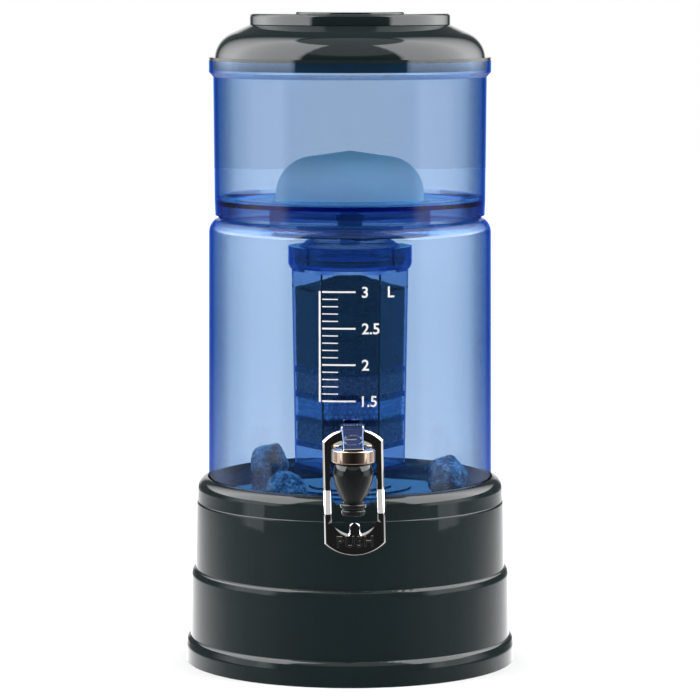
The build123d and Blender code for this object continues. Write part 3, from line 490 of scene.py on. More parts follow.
def clear_plastic(name, tint, density, pale, lamp_tint, glow, rough_high):
    """Clear tinted moulding that lamps shine through, with a faint painted glow that stands in for light
    trapped in it.
    """
    material, tree, shader = plain_material(name, pale, IOR=PLASTIC_IOR, Transmission_Weight=1.0,
                                            Roughness=0.0)
    skin = place_group(tree, MOULDED, Smudge_Scale=14.0)
    duller = tuple(STREAK_TONE * c for c in pale)
    tree.links.new(blend_colours(tree, skin.outputs["Streak"], duller, pale), shader.inputs["Base Color"])
    tree.links.new(spread(tree, skin.outputs["Smudge"], 0.0, rough_high), shader.inputs["Roughness"])
    out = tree.nodes["Material Output"]
    depth = one_colour(tree, "ShaderNodeVolumeAbsorption", tint)
    depth.inputs["Density"].default_value = density
    tree.links.new(depth.outputs[0], out.inputs["Volume"])
    path = tree.nodes.new("ShaderNodeLightPath")
    lamp_light = one_colour(tree, "ShaderNodeBsdfTransparent", lamp_tint)
    body = mix_shaders(tree, path.outputs["Is Shadow Ray"], shader.outputs["BSDF"], lamp_light.outputs[0])
    # Painted glow: an emission colour stands in for light trapped in the walls.
    trapped = one_colour(tree, "ShaderNodeEmission", glow)
    deep = math_node(tree, "GREATER_THAN", path.outputs["Ray Depth"], TRAPPED_DEPTH)
    whole = mix_shaders(tree, deep, wall_edges(tree, body), trapped.outputs[0])
    tree.links.new(whole, out.inputs["Surface"])
    return material


def plated_metal(name, colour, rough_low, rough_high):
    """Bright plated or drawn metal."""
    material, tree, shader = plain_material(name, colour, Metallic=1.0)
    skin = place_group(tree, MOULDED, Peel_Scale=500.0, Smudge_Scale=120.0)
    duller = tuple(SMUDGE_TONE * c for c in colour)
    tree.links.new(blend_colours(tree, skin.outputs["Smudge"], colour, duller), shader.inputs["Base Color"])
    tree.links.new(spread(tree, skin.outputs["Smudge"], rough_low, rough_high), shader.inputs["Roughness"])
    raise_surface(tree, shader, skin.outputs["Peel"], strength=0.04, depth=0.00003)
    return material


def matt_grain(name, dark, light, grain, rough, relief):
    """Granular matt surface with a tone of its own in each grain."""
    material, tree, shader = plain_material(name, dark)
    cells = place_group(tree, GRAIN, Grain_Scale=grain)
    tree.links.new(blend_colours(tree, cells.outputs["Tone"], dark, light), shader.inputs["Base Color"])
    tree.links.new(spread(tree, cells.outputs["Pits"], rough, rough + 0.2), shader.inputs["Roughness"])
    raise_surface(tree, shader, cells.outputs["Pits"], strength=0.4, depth=relief)
    return material


def bead_material(name, dark, light, rough, relief):
    """Loose beads or granules: each one's tone comes from its mesh, and fine grain breaks it up."""
    material, tree, shader = plain_material(name, dark, Specular_IOR_Level=0.12)
    tone = tree.nodes.new("ShaderNodeAttribute")
    tone.attribute_name = "tone"
    cells = place_group(tree, GRAIN, Grain_Scale=2600.0)
    mixed = math_node(tree, "MULTIPLY", cells.outputs["Tone"], GRAIN_SHARE)
    both = math_node(tree, "MULTIPLY_ADD", tone.outputs["Fac"], 1 - GRAIN_SHARE, mixed)
    tree.links.new(blend_colours(tree, both, dark, light), shader.inputs["Base Color"])
    tree.links.new(spread(tree, cells.outputs["Tone"], rough, rough + 0.15), shader.inputs["Roughness"])
    raise_surface(tree, shader, cells.outputs["Pits"], strength=0.3, depth=relief)
    return material


# After its two tones, a gloss or a metal has its lowest and highest roughness. A grained finish has a grain
# scale, a roughness and a relief in metres, and loose grains have a roughness and a relief.
SLATE = gloss_plastic("slate_gloss", (0.010, 0.0165, 0.0180), (0.0125, 0.0200, 0.0215), 0.035, 0.10)
BLACK = gloss_plastic("tap_black", (0.008, 0.010, 0.010), (0.011, 0.013, 0.013), 0.04, 0.11)
TANK = clear_plastic("tank_blue", tint=(0.225, 0.525, 0.845), density=200.0, pale=(0.84, 0.855, 0.875),
                     lamp_tint=(0.50, 0.88, 1.0), glow=(0.08, 0.22, 0.48), rough_high=0.012)
JAR = clear_plastic("cartridge_blue", tint=(0.05, 0.42, 0.86), density=260.0, pale=(0.88, 0.95, 0.99),
                    lamp_tint=(0.5, 0.85, 1.0), glow=(0.03, 0.16, 0.42), rough_high=0.02)
CHROME = plated_metal("chrome_plate", (0.80, 0.79, 0.78), 0.02, 0.06)
BRONZE = plated_metal("warm_plate", (0.72, 0.56, 0.44), 0.02, 0.06)
STEEL = plated_metal("spring_steel", (0.55, 0.55, 0.56), 0.2, 0.32)
RUBBER = matt_grain("seal_rubber", (0.02, 0.02, 0.021), (0.03, 0.03, 0.031), 1800.0, 0.6, 0.00005)
SILICONE = matt_grain("pale_silicone", (0.58, 0.62, 0.66), (0.66, 0.70, 0.74), 1500.0, 0.4, 0.00003)
CERAMIC = matt_grain("dome_ceramic", (0.78, 0.80, 0.80), (0.84, 0.85, 0.85), 1400.0, 0.55, 0.00006)
SCREEN = matt_grain("filter_plastic", (0.60, 0.64, 0.68), (0.70, 0.74, 0.78), 1100.0, 0.4, 0.00005)
PRINT = matt_grain("white_print", (0.76, 0.76, 0.77), (0.82, 0.82, 0.83), 2400.0, 0.45, 0.00001)
CARBON = bead_material("carbon", (0.004, 0.004, 0.005), (0.02, 0.02, 0.022), 0.45, 0.0001)
GRANULES = bead_material("mineral_granules", (0.10, 0.05, 0.05), (0.74, 0.50, 0.47), 0.6, 0.0001)
BEADS = bead_material("ceramic_beads", (0.62, 0.70, 0.78), (0.88, 0.92, 0.95), 0.35, 0.00004)


STONE_TONES = ((0.42, (0.01, 0.03, 0.06)), (0.54, (0.06, 0.16, 0.26)),
               (0.64, (0.16, 0.32, 0.46)), (0.78, (0.6, 0.74, 0.84)))
VEIN_SCALE, VEIN_DETAIL = 150.0, 8.0


def stone_material():
    """Translucent quartz: milky, with darker veins and a wet gloss on its faces."""
    material, tree, shader = plain_material("mineral_stone", (0.45, 0.52, 0.6), Transmission_Weight=0.15)
    veins = noise_value(tree, VEIN_SCALE, VEIN_DETAIL)
    cells = place_group(tree, GRAIN, Grain_Scale=800.0)
    mixed = math_node(tree, "MULTIPLY", cells.outputs["Tone"], 0.25)
    both = math_node(tree, "MULTIPLY_ADD", veins, 0.9, mixed)
    tree.links.new(ramp_node(tree, both, STONE_TONES), shader.inputs["Base Color"])
    tree.links.new(spread(tree, veins, 0.15, 0.5), shader.inputs["Roughness"])
    raise_surface(tree, shader, both, strength=0.7, depth=0.0007)
    return material


STONE = stone_material()

FINISHES = {
    "base_stand": SLATE, "lid_shell": SLATE, "lid_grip": SLATE, "lid_badge": SLATE,
    "lower_tank": TANK, "upper_tank": TANK,
    "tap_body": BLACK, "tap_nozzle": BLACK, "tap_nut": BLACK,
    "tap_cap": CHROME, "tap_collar_ring": BRONZE, "push_lever": CHROME,
    "tap_spring": STEEL, "lever_pin": STEEL,
    "tap_outer_gasket": RUBBER, "tap_inner_gasket": RUBBER, "valve_seal": RUBBER, "dome_gasket": SILICONE,
    "stem_washer": RUBBER, "cartridge_gasket": RUBBER,
    "ceramic_dome": CERAMIC, "dome_plate": SCREEN, "stem_nut": SCREEN, "tap_plunger": SCREEN,
    "cartridge_screen": SCREEN,
    "cartridge_jar": JAR, "outlet_cap": JAR, "cartridge_nut": JAR,
    "divider_1": JAR, "divider_2": JAR, "divider_3": JAR, "divider_4": JAR,
    "mineral_stone_left": STONE, "mineral_stone_front": STONE, "mineral_stone_right": STONE,
    "carbon_fill": CARBON, "lower_granules": GRANULES, "upper_granules": GRANULES, "ceramic_beads": BEADS,
}


def dress_nodes():
    """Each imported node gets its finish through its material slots."""
    for name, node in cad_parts.items():
        material = FINISHES[name]
        if not node.material_slots:
            node.data.materials.append(material)
        for slot in node.material_slots:
            slot.link = "OBJECT"
            slot.material = material


# ---------------------------------------------------------------- mesh helpers

def seat_piece(piece, body, slot, *nodes):
    """The piece moves with a body and stands for the nodes; the slot is not used."""
    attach(piece, body)
    if nodes:
        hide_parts(*nodes)
    return piece


def piece_from(name, vertices, faces, material, smooth=True):
    """Piece from points in millimetres."""
    return object_from(name, [Vector(v) * MM for v in vertices], faces, material, smooth)


def piece_from_bmesh(name, bm, material, sharp=None):
    """Piece from a bmesh in millimetres, smooth up to an angle between its faces."""
    bmesh.ops.recalc_face_normals(bm, faces=bm.faces[:])
    bmesh.ops.scale(bm, vec=(MM, MM, MM), verts=bm.verts[:])
    mesh = bpy.data.meshes.new(name)
    bm.to_mesh(mesh)
    bm.free()
    mesh.polygons.foreach_set("use_smooth", [True] * len(mesh.polygons))
    if sharp is not None:
        mesh.set_sharp_from_angle(angle=radians(sharp))
    mesh.materials.append(material)
    made = bpy.data.objects.new(name, mesh)
    scene.collection.objects.link(made)
    return made


def bow(half, side, middle, steps):
    """Arc over a width, from left to right, as points of width and height."""
    rise = middle - side
    radius = (half ** 2 + rise ** 2) / (2 * rise)
    reach = asin(half / abs(radius))
    centre = middle - radius
    turns = [reach * (2 * i / steps - 1) for i in range(steps + 1)]
    return [(abs(radius) * sin(turn), centre + radius * cos(turn)) for turn in turns]


def corner_round(centre, radius, start, end, steps):
    """Arc round a centre between two angles in degrees."""
    turns = [radians(start + (end - start) * i / steps) for i in range(steps + 1)]
    return [(centre[0] + radius * cos(turn), centre[1] + radius * sin(turn)) for turn in turns]


def ease(share):
    """Share of a change that is slow at both ends."""
    return share * share * (3 - 2 * share)


def skin_rings(bm, rings):
    """Faces between each ring and the next."""
    for first, second in zip(rings, rings[1:]):
        for i in range(len(first)):
            bm.faces.new((first[i - 1], first[i], second[i], second[i - 1]))


def cap_rings(bm, rings):
    """Faces over the first ring and the last one."""
    bm.faces.new(rings[0])
    bm.faces.new(rings[-1][::-1])


def run_between(first, last, steps):
    """Points along a straight run, without its two ends."""
    return [tuple(a + (b - a) * i / steps for a, b in zip(first, last)) for i in range(1, steps)]


SHARPEST = 0.625        # cosine of half a bend, past which its mitre grows no longer


def inset_loop(loop, widths, share):
    """Closed loop moved to its right by each point's own width, with mitred corners."""
    moved = []
    count = len(loop)
    for i, (x, z) in enumerate(loop):
        before, after = loop[i - 1], loop[(i + 1) % count]
        first = Vector((x - before[0], z - before[1])).normalized()
        second = Vector((after[0] - x, after[1] - z)).normalized()
        side = Vector((first.y + second.y, -first.x - second.x)).normalized()
        mitre = 1 / max(SHARPEST, side.dot(Vector((second.y, -second.x))))
        step = widths[i] * share * mitre
        moved.append((x + side.x * step, z + side.y * step))
    return moved


# ---------------------------------------------------------------- push lever

LEVER_HALF = 18.95
LEVER_SHOULDER_Z = 157.2
LEVER_CROWN_Z = 165.2
LEVER_FOOT_SIDE_Z = 94.0
LEVER_FOOT_Z = 86.0
LEVER_FRONT_Y = -111.8      # upper plate's front
LEVER_T = 2.6
LEVER_JOG = 9.5             # lower plate in front of the upper one
LEVER_JOG_TOP_Z = 126.2
LEVER_JOG_LOW_Z = 112.8
LEVER_BEND = 0.6            # half of each rounded bend's height
WINDOW_HALF = 14.2
WINDOW_TOP_Z = 144.5
WINDOW_ROUND = 3.0
SLOT_HALF = 9.6
SLOT_TOP_Z = 152.4
SILL_SIDE_Z = 107.6
SILL_Z = 100.25
TAB_HALF = 3.4
TAB_Z = 103.9               # centre of its round top
LEVER_HANG = radians(-1.2)  # play on its pin
LEVER_SHARP = 13.5          # degrees between faces at which an edge is crisp
ARC_STEPS, SIDE_STEPS = 36, 24      # along the outside
SILL_STEPS, TAB_STEPS, JAMB_STEPS, CORNER_STEPS = 44, 18, 16, 8     # round the window
LIP_STEPS = 5
LIP_ARCH, LIP_ARCH_GROWTH = 0.7, 0.5        # lips' widths seen from the front
LIP_SIDE, LIP_SIDE_LOW, LIP_FOOT = 1.3, 0.9, 1.0    # above the jog, below it, and round the foot
LIP_WINDOW, LIP_SILL, LIP_SILL_GROWTH = 0.5, 2.0, 0.3
LIP_DEPTH, LIP_WINDOW_DEPTH, LIP_BACK = 1.3, 0.9, 0.4
LIP_BULGE = 0.1             # share of its depth by which a lip is rounder than a bevel
TAB_GAP, TAB_LIP = 0.3, 0.2     # sill's points, and its wide lip, keep this clear of the tab
BEND_CUTS = 7               # cuts through each bend
BEND_SAMPLES = 9
AT_LEVEL = 0.01             # points this near a level count as on it

# The tongue, a strap from the hinge over the cap to the thumb tab
TONGUE_SLOPE = tan(radians(23))
SPOUT_Y = -126.0
TONGUE_Z = 159.2            # upper face over the spout's axis
TONGUE_DEPTH = 3.26
PIVOT_Y, PIVOT_Z = -133.0, 153.3
KNUCKLE_R = 2.7
KNUCKLE_STEPS = 9
KNUCKLE_BLEND = 4.5         # run over which the knuckle becomes the strap
NOSE_ROUND = 0.5
TONGUE_HALF, TONGUE_FLARE, FLARE_RUN = 6.45, 0.3, 12
TONGUE_STEP = 0.27
TONGUE_BACK_Y, TONGUE_END_GAP = -103.7, 0.3     # its last section is within the gap
TONGUE_BACK_ROUND = 1.3
TONGUE_EDGE = 0.9
TONGUE_COLUMNS = 52
TONGUE_BEVEL = 0.4          # along its lower edges
THUMB_Y = -110.5            # the tongue is flatter behind it
THUMB_DROP = 0.19
THUMB_TAB_Y, THUMB_HALF = -109.6, 7.2
THUMB_END, THUMB_END_DRAW = 1.6, 0.9        # its corners are drawn in over the last stretch
DIMPLE_Y = -125.0
DIMPLE_R, DIMPLE_DEPTH, DIMPLE_SLOPE = 5.9, 0.15, 0.8
DIMPLE_RIM_H, DIMPLE_RIM_W, DIMPLE_RIM_IN = 0.16, 0.28, 0.3
RELIEF_BAND = 0.3           # points this near the tongue's top carry its relief
RIBS_Y, RIBS_HALF, RIBS_START = -108.4, 5.9, 0.8
RIB_PITCH, RIB_H, RIB_FULLNESS = 1.9, 0.42, 0.7     # the fullness is a power of the wave

# The fork, two hooks that hold the plunger's ball
FORK_LOW_Z, FORK_HIGH_Z = 149.1, 157.4
FORK_HALF, FORK_MOUTH, FORK_NECK = 4.4, 1.7, 2.5    # outside, between the hooks, and above them
FORK_HOOK_H, FORK_CORNER = 1.2, 0.4
FORK_DEPTHS = ((-129.5, 0.2), (-129.3, 0), (-122.7, 0), (-122.5, 0.2))     # place and inset of each ring


def jog_share(z):
    """How far down the jog a height is: 0 above it and 1 below."""
    return clamp((LEVER_JOG_TOP_Z - z) / (LEVER_JOG_TOP_Z - LEVER_JOG_LOW_Z))


def lever_outline():
    """Outside loop of the plate, clockwise from the front, and the width of its rounded lip."""
    arch = bow(LEVER_HALF, LEVER_SHOULDER_Z, LEVER_CROWN_Z, ARC_STEPS)
    foot = bow(LEVER_HALF, LEVER_FOOT_SIDE_Z, LEVER_FOOT_Z, ARC_STEPS)[::-1]
    right = run_between(arch[-1], foot[0], SIDE_STEPS)
    left = run_between(foot[-1], arch[0], SIDE_STEPS)
    loop = arch + right + foot + left
    widths = []
    for x, z in loop:
        if z > LEVER_SHOULDER_Z - AT_LEVEL:
            widths.append(LIP_ARCH + LIP_ARCH_GROWTH * abs(x) / LEVER_HALF)
        elif z > LEVER_FOOT_SIDE_Z + AT_LEVEL:
            widths.append(LIP_SIDE - (LIP_SIDE - LIP_SIDE_LOW) * jog_share(z))
        else:
            widths.append(LIP_FOOT)
    return loop, widths


def lever_window():
    """Loop of the opening, anticlockwise from the front, and the width of its rounded lip."""
    sill = bow(WINDOW_HALF, SILL_SIDE_Z, SILL_Z, SILL_STEPS)
    low = [point for point in sill if point[0] < -TAB_HALF - TAB_GAP]
    far = [point for point in sill if point[0] > TAB_HALF + TAB_GAP]
    foot_z = low[-1][1]
    tab = corner_round((0, TAB_Z), TAB_HALF, 180, 0, TAB_STEPS)
    tab = [(-TAB_HALF, foot_z)] + tab + [(TAB_HALF, foot_z)]
    high = WINDOW_TOP_Z - WINDOW_ROUND
    slot_high = SLOT_TOP_Z - WINDOW_ROUND
    loop = low + tab + far
    loop += run_between(far[-1], (WINDOW_HALF, high), JAMB_STEPS)
    loop += corner_round((WINDOW_HALF - WINDOW_ROUND, high), WINDOW_ROUND, 0, 90, CORNER_STEPS)
    loop += [(SLOT_HALF, WINDOW_TOP_Z)]
    loop += corner_round((SLOT_HALF - WINDOW_ROUND, slot_high), WINDOW_ROUND, 0, 90, CORNER_STEPS)
    loop += corner_round((WINDOW_ROUND - SLOT_HALF, slot_high), WINDOW_ROUND, 90, 180, CORNER_STEPS)
    loop += [(-SLOT_HALF, WINDOW_TOP_Z)]
    loop += corner_round((WINDOW_ROUND - WINDOW_HALF, high), WINDOW_ROUND, 90, 180, CORNER_STEPS)
    loop += run_between((-WINDOW_HALF, high), low[0], JAMB_STEPS)
    widths = []
    for x, z in loop:
        if z < SILL_SIDE_Z + AT_LEVEL and abs(x) > TAB_HALF + TAB_LIP:
            widths.append(LIP_SILL + LIP_SILL_GROWTH * (abs(x) / WINDOW_HALF) ** 2)
        else:
            widths.append(LIP_WINDOW)
    return loop, widths


def lip_ring(bm, loop, widths, share, depth):
    return [bm.verts.new((x, depth, z)) for x, z in inset_loop(loop, widths, share)]


def lip_rings(bm, loop, widths, front_depth):
    """Rounded rim of the plate, from its front face round to its back face."""
    rings = []
    for i in range(LIP_STEPS + 1):
        share = i / LIP_STEPS
        depth = front_depth * (share - LIP_BULGE * sin(pi * share))
        rings.append(lip_ring(bm, loop, widths, 1 - share, depth))
    backs = [LIP_BACK] * len(loop)
    rings.append(lip_ring(bm, loop, backs, 0, LEVER_T - LIP_BACK))
    rings.append(lip_ring(bm, loop, backs, 0.3, LEVER_T - 0.3 * LIP_BACK))
    rings.append(lip_ring(bm, loop, backs, 1, LEVER_T))
    skin_rings(bm, rings)
    return rings[0], rings[-1]


def loop_edges(bm, ring):
    return [bm.edges.get((ring[i - 1], ring[i])) for i in range(len(ring))]


def lever_jog_at(z):
    """How far the plate has stepped forward at a height, with its bends rounded."""
    levels = [z + LEVER_BEND * (2 * i / (BEND_SAMPLES - 1) - 1) for i in range(BEND_SAMPLES)]
    return LEVER_JOG * sum(jog_share(level) for level in levels) / BEND_SAMPLES


def make_lever_plate(bm):
    """Chromed plate with its window, a forward jog, and rounded lips."""
    outer_front, outer_back = lip_rings(bm, *lever_outline(), LIP_DEPTH)
    window_front, window_back = lip_rings(bm, *lever_window(), LIP_WINDOW_DEPTH)
    for outer_ring, window_ring in ((outer_front, window_front), (outer_back, window_back)):
        edges = loop_edges(bm, outer_ring) + loop_edges(bm, window_ring)
        bmesh.ops.triangle_fill(bm, use_beauty=True, edges=edges)
        for edge in edges:
            edge.smooth = False
    for bend in (LEVER_JOG_TOP_Z, LEVER_JOG_LOW_Z):
        for i in range(BEND_CUTS):
            level = bend + LEVER_BEND * (i / (BEND_CUTS // 2) - 1)
            everything = bm.verts[:] + bm.edges[:] + bm.faces[:]
            bmesh.ops.bisect_plane(bm, geom=everything, plane_co=(0, 0, level), plane_no=(0, 0, 1))
    for vertex in bm.verts:
        vertex.co.y += LEVER_FRONT_Y - lever_jog_at(vertex.co.z)


def tongue_half(y):
    """Half width of the tongue, with the thumb tab at its back."""
    if y > THUMB_TAB_Y:
        end = max(0.0, (y - TONGUE_BACK_Y + THUMB_END) / THUMB_END)
        return THUMB_HALF - THUMB_END_DRAW * end ** 2
    return TONGUE_HALF + TONGUE_FLARE * clamp((y - SPOUT_Y) / FLARE_RUN)


def tongue_relief(x, y):
    """Height added to the tongue's upper face: the dimple with its raised rim, and the thumb ribs."""
    away = hypot(x, (y - DIMPLE_Y) * sqrt(1 + TONGUE_SLOPE ** 2))
    rim = DIMPLE_RIM_H * exp(-((away - DIMPLE_R) / DIMPLE_RIM_W) ** 2)
    dish = -DIMPLE_DEPTH * ease(clamp((DIMPLE_R - DIMPLE_RIM_IN - away) / DIMPLE_SLOPE))
    ribs = 0.0
    if y > RIBS_Y and abs(x) < RIBS_HALF:
        start = min(1.0, (y - RIBS_Y) / RIBS_START)
        ribs = RIB_H * start * max(0.0, cos(2 * pi * (x / RIB_PITCH + 0.5))) ** RIB_FULLNESS
    return rim + dish + ribs


def knuckle_stations():
    """Places round the hinge knuckle with the heights of its upper and lower faces."""
    stations = []
    for i in range(1, KNUCKLE_STEPS + 1):
        turn = pi / 2 * i / KNUCKLE_STEPS
        y = PIVOT_Y - KNUCKLE_R * cos(turn)
        short = max(0.0, NOSE_ROUND - (y - PIVOT_Y + KNUCKLE_R))
        top = TONGUE_Z + (y - SPOUT_Y) * TONGUE_SLOPE - NOSE_ROUND + sqrt(NOSE_ROUND ** 2 - short ** 2)
        stations.append((y, top, PIVOT_Z - KNUCKLE_R * sin(turn)))
    return stations


def tongue_stations():
    """Places along the tongue with the heights of its upper and lower faces."""
    stations = knuckle_stations()
    y = PIVOT_Y
    while y < TONGUE_BACK_Y - TONGUE_END_GAP:
        y += TONGUE_STEP
        top = TONGUE_Z + (y - SPOUT_Y) * TONGUE_SLOPE - THUMB_DROP * max(0.0, y - THUMB_Y)
        blend = ease(clamp((y - PIVOT_Y) / KNUCKLE_BLEND))
        under = (1 - blend) * (PIVOT_Z - KNUCKLE_R) + blend * (top - TONGUE_DEPTH)
        past_end = max(0.0, y - (TONGUE_BACK_Y - TONGUE_BACK_ROUND)) / TONGUE_BACK_ROUND
        drop = TONGUE_BACK_ROUND * (1 - sqrt(max(0.0, 1 - past_end ** 2)))
        stations.append((y, top - drop, under + 0.4 * drop))
    return stations


def tongue_section(y, top, under):
    """Closed section across the tongue: rounded above, and bevelled below."""
    half = tongue_half(y)
    edge = min(TONGUE_EDGE, (top - under) * 0.45)
    left = []
    for i in range(CORNER_STEPS, -1, -1):
        turn = pi / 2 * i / CORNER_STEPS
        left.append((-half + edge * (1 - sin(turn)), top - edge * (1 - cos(turn))))
    flat = half - edge
    middle = [(-flat + 2 * flat * i / TONGUE_COLUMNS, top) for i in range(1, TONGUE_COLUMNS)]
    section = left + middle + [(-x, z) for x, z in reversed(left)]
    section += [(half, under + TONGUE_BEVEL), (half - TONGUE_BEVEL, under), (0, under)]
    section += [(TONGUE_BEVEL - half, under), (-half, under + TONGUE_BEVEL)]
    return [(x, z + (tongue_relief(x, y) if z > top - RELIEF_BAND else 0)) for x, z in section]


def make_tongue(bm):
    """Strap from the hinge knuckle up over the cap to the thumb tab, as a closed skin."""
    rings = []
    for y, top, under in tongue_stations():
        rings.append([bm.verts.new((x, y, z)) for x, z in tongue_section(y, top, under)])
    skin_rings(bm, rings)
    cap_rings(bm, rings)


def make_fork(bm):
    """Two hooks under the tongue that hold the plunger's ball."""
    outline = [(FORK_HALF, FORK_HIGH_Z), (FORK_HALF, FORK_LOW_Z + FORK_CORNER)]
    outline += [(FORK_HALF - FORK_CORNER, FORK_LOW_Z), (FORK_MOUTH, FORK_LOW_Z)]
    outline += [(FORK_MOUTH, FORK_LOW_Z + FORK_HOOK_H), (FORK_NECK, FORK_LOW_Z + FORK_HOOK_H)]
    outline += [(FORK_NECK, FORK_HIGH_Z)]
    middle_x, middle_z = (FORK_HALF + FORK_NECK) / 2, (FORK_LOW_Z + FORK_HIGH_Z) / 2
    for sign in (-1, 1):
        rings = []
        for y, inset in FORK_DEPTHS:
            ring = []
            for x, z in outline:
                shrink_x = inset if x > middle_x else -inset
                shrink_z = inset if z > middle_z else -inset
                ring.append(bm.verts.new((sign * (x - shrink_x), y, z - shrink_z)))
            rings.append(ring)
        skin_rings(bm, rings)
        cap_rings(bm, rings)


def hang_lever(bm):
    """Small roll of the lever about the spout's line, from the play on its pin."""
    turn = Matrix.Rotation(LEVER_HANG, 3, "Y")
    bmesh.ops.rotate(bm, cent=(0, 0, PIVOT_Z), matrix=turn, verts=bm.verts[:])


def make_push_lever():
    bm = bmesh.new()
    make_lever_plate(bm)
    make_tongue(bm)
    make_fork(bm)
    hang_lever(bm)
    lever = piece_from_bmesh("chrome_lever", bm, CHROME, LEVER_SHARP)
    seat_piece(lever, "lever", "chrome_plate", "push_lever")


RING_R, RING_LOW_Z, RING_TOP_Z, RING_BORE = 13.7, 145.9, 154.0, 12.2
RING_ROUND, RING_ROUND_STEPS = 0.8, 10
RING_FLAT = 0.04        # its side stays straight right up to the rounds
RING_STEPS, RING_SHARP = 160, 30


def make_collar_ring():
    """Plated collar under the cap: a true cylinder with rounded edges."""
    side, low, high = RING_R - RING_ROUND, RING_LOW_Z + RING_ROUND, RING_TOP_Z - RING_ROUND
    outline = [(RING_BORE, RING_LOW_Z)] + corner_round((side, low), RING_ROUND, -90, 0, RING_ROUND_STEPS)
    outline += [(RING_R, low + RING_FLAT), (RING_R, high - RING_FLAT)]
    outline += corner_round((side, high), RING_ROUND, 0, 90, RING_ROUND_STEPS) + [(RING_BORE, RING_TOP_Z)]
    bm = bmesh.new()
    rows = []
    for i in range(RING_STEPS):
        turn = 2 * pi * i / RING_STEPS
        rows.append([bm.verts.new((r * cos(turn), SPOUT_Y + r * sin(turn), z)) for r, z in outline])
    for i, row in enumerate(rows):
        after = rows[(i + 1) % RING_STEPS]
        for j in range(len(outline)):
            bm.faces.new((row[j - 1], after[j - 1], after[j], row[j]))
    ring = piece_from_bmesh("collar_ring", bm, BRONZE, RING_SHARP)
    seat_piece(ring, "reservoir", "chrome_plate", "tap_collar_ring")


def lettering(body, size, depth, bevel=0.0, spacing=1.0, weight=0.0):
    """Flat letters as a mesh in millimetres, with X along the words and Z away from them."""
    curve = bpy.data.curves.new("letters", "FONT")
    curve.body = body
    curve.size = size
    curve.extrude = depth
    curve.bevel_depth = bevel
    curve.bevel_resolution = 1
    curve.offset = weight
    curve.space_character = spacing
    curve.resolution_u = 5
    holder = bpy.data.objects.new("letters", curve)
    mesh = bpy.data.meshes.new_from_object(holder)
    bpy.data.objects.remove(holder)
    bpy.data.curves.remove(curve)
    return mesh


LETTER_SIZE = 9.6
LETTER_Z = 92.1         # foot of the letters
LETTER_HALF = 11.3
LETTER_DEPTH, LETTER_BEVEL, LETTER_SPACING, LETTER_WEIGHT = 0.2, 0.16, 1.12, 0.06
LETTER_SHARP = 30


def make_lever_letters():
    """Raised word on the lower plate that says what to do with it."""
    mesh = lettering("PUSH", LETTER_SIZE, LETTER_DEPTH, LETTER_BEVEL, LETTER_SPACING, LETTER_WEIGHT)
    bm = bmesh.new()
    bm.from_mesh(mesh)
    bpy.data.meshes.remove(mesh)
    left = min(v.co.x for v in bm.verts)
    right = max(v.co.x for v in bm.verts)
    stretch = 2 * LETTER_HALF / (right - left)
    plate_y = LEVER_FRONT_Y - LEVER_JOG
    for vertex in bm.verts:
        x, up, out = vertex.co
        vertex.co = ((x - left) * stretch - LETTER_HALF, plate_y - out, LETTER_Z + up)
    hang_lever(bm)
    letters = piece_from_bmesh("lever_letters", bm, CHROME, LETTER_SHARP)
    seat_piece(letters, "lever", "chrome_plate")


# ---------------------------------------------------------------- cartridge's fillings

JAR_TOP_Z, JAR_FOOT_Z = 256.2, 126.1
JAR_CORNER_TOP = 38.2   # radius to its hexagon's corners at the top
JAR_DRAFT = 2.15        # by how much less it is at the foot
FILL_INSET = 1.9        # jar's wall and the gap inside it
BEAD_R = 1.5
GRANULE_R = 0.78
CARBON_R = 0.95
CARBON_MOUND_H = 7.0
CARBON_MOUND_R = 9.0    # of its flat top
CARBON_SHELF = 3.5      # the mound's foot stands this far in from the hexagon's rounded edge
MOUND_SIDES, MOUND_IN, MOUND_SUNK = 24, 0.5, 1.5    # its core's foot keeps in from the sides and starts low
# The core is darker than an average grain: painted shade in the gaps between the grains.
CORE_SHADE_TONE = 0.25

# By how much a grain's place varies, as shares of the rows' rise, the pitch, and the grain's radius
ROW_UNEVEN, SIDE_UNEVEN, TOP_UNEVEN, INWARD_MOST = 0.22, 0.2, 0.3, 0.35

# Of each bed's grains, in radii: pitch along a row, rise between rows, and how far in the core behind is
BEAD_PITCH, BEAD_RISE, BEAD_CORE = 2, 1.75, 1.4
GRANULE_PITCH, GRANULE_RISE, GRANULE_CORE = 1.9, 1.5, 1
CARBON_PITCH, CARBON_RISE, CARBON_CORE = 1.9, 1.6, 1
CARBON_TOP_PITCH, CARBON_TOP_CORE = 1.8, 1.2


def jar_inside(z):
    """Corner radius of the filling's hexagon at a height."""
    down = (JAR_TOP_Z - z) / (JAR_TOP_Z - JAR_FOOT_Z)
    return JAR_CORNER_TOP - JAR_DRAFT * down - FILL_INSET / cos(pi / 6)


def hexagon_corner(radius, side):
    return Vector((cos(pi / 3 * side), sin(pi / 3 * side), 0)) * radius


def side_sites(low, high, pitch, rise, sink, chance):
    """Places just inside the hexagon's six sides, in staggered rows."""
    rows = max(1, int((high - low - 2 * sink) / rise))
    sites = []
    for row in range(rows + 1):
        z = low + sink + (high - low - 2 * sink) * row / rows
        corner = jar_inside(z) - sink / cos(pi / 6)
        count = int(corner / pitch)
        for side in range(6):
            first, second = hexagon_corner(corner, side), hexagon_corner(corner, side + 1)
            for i in range(count):
                share = (i + 0.25 + 0.5 * (row % 2)) / count
                spot = first.lerp(second, share)
                spot.z = z + chance.uniform(-ROW_UNEVEN, ROW_UNEVEN) * rise
                spot += (second - first).normalized() * chance.uniform(-SIDE_UNEVEN, SIDE_UNEVEN) * pitch
                inward = chance.uniform(0, INWARD_MOST) * sink
                sites.append(spot - Vector((spot.x, spot.y, 0)).normalized() * inward)
    return sites


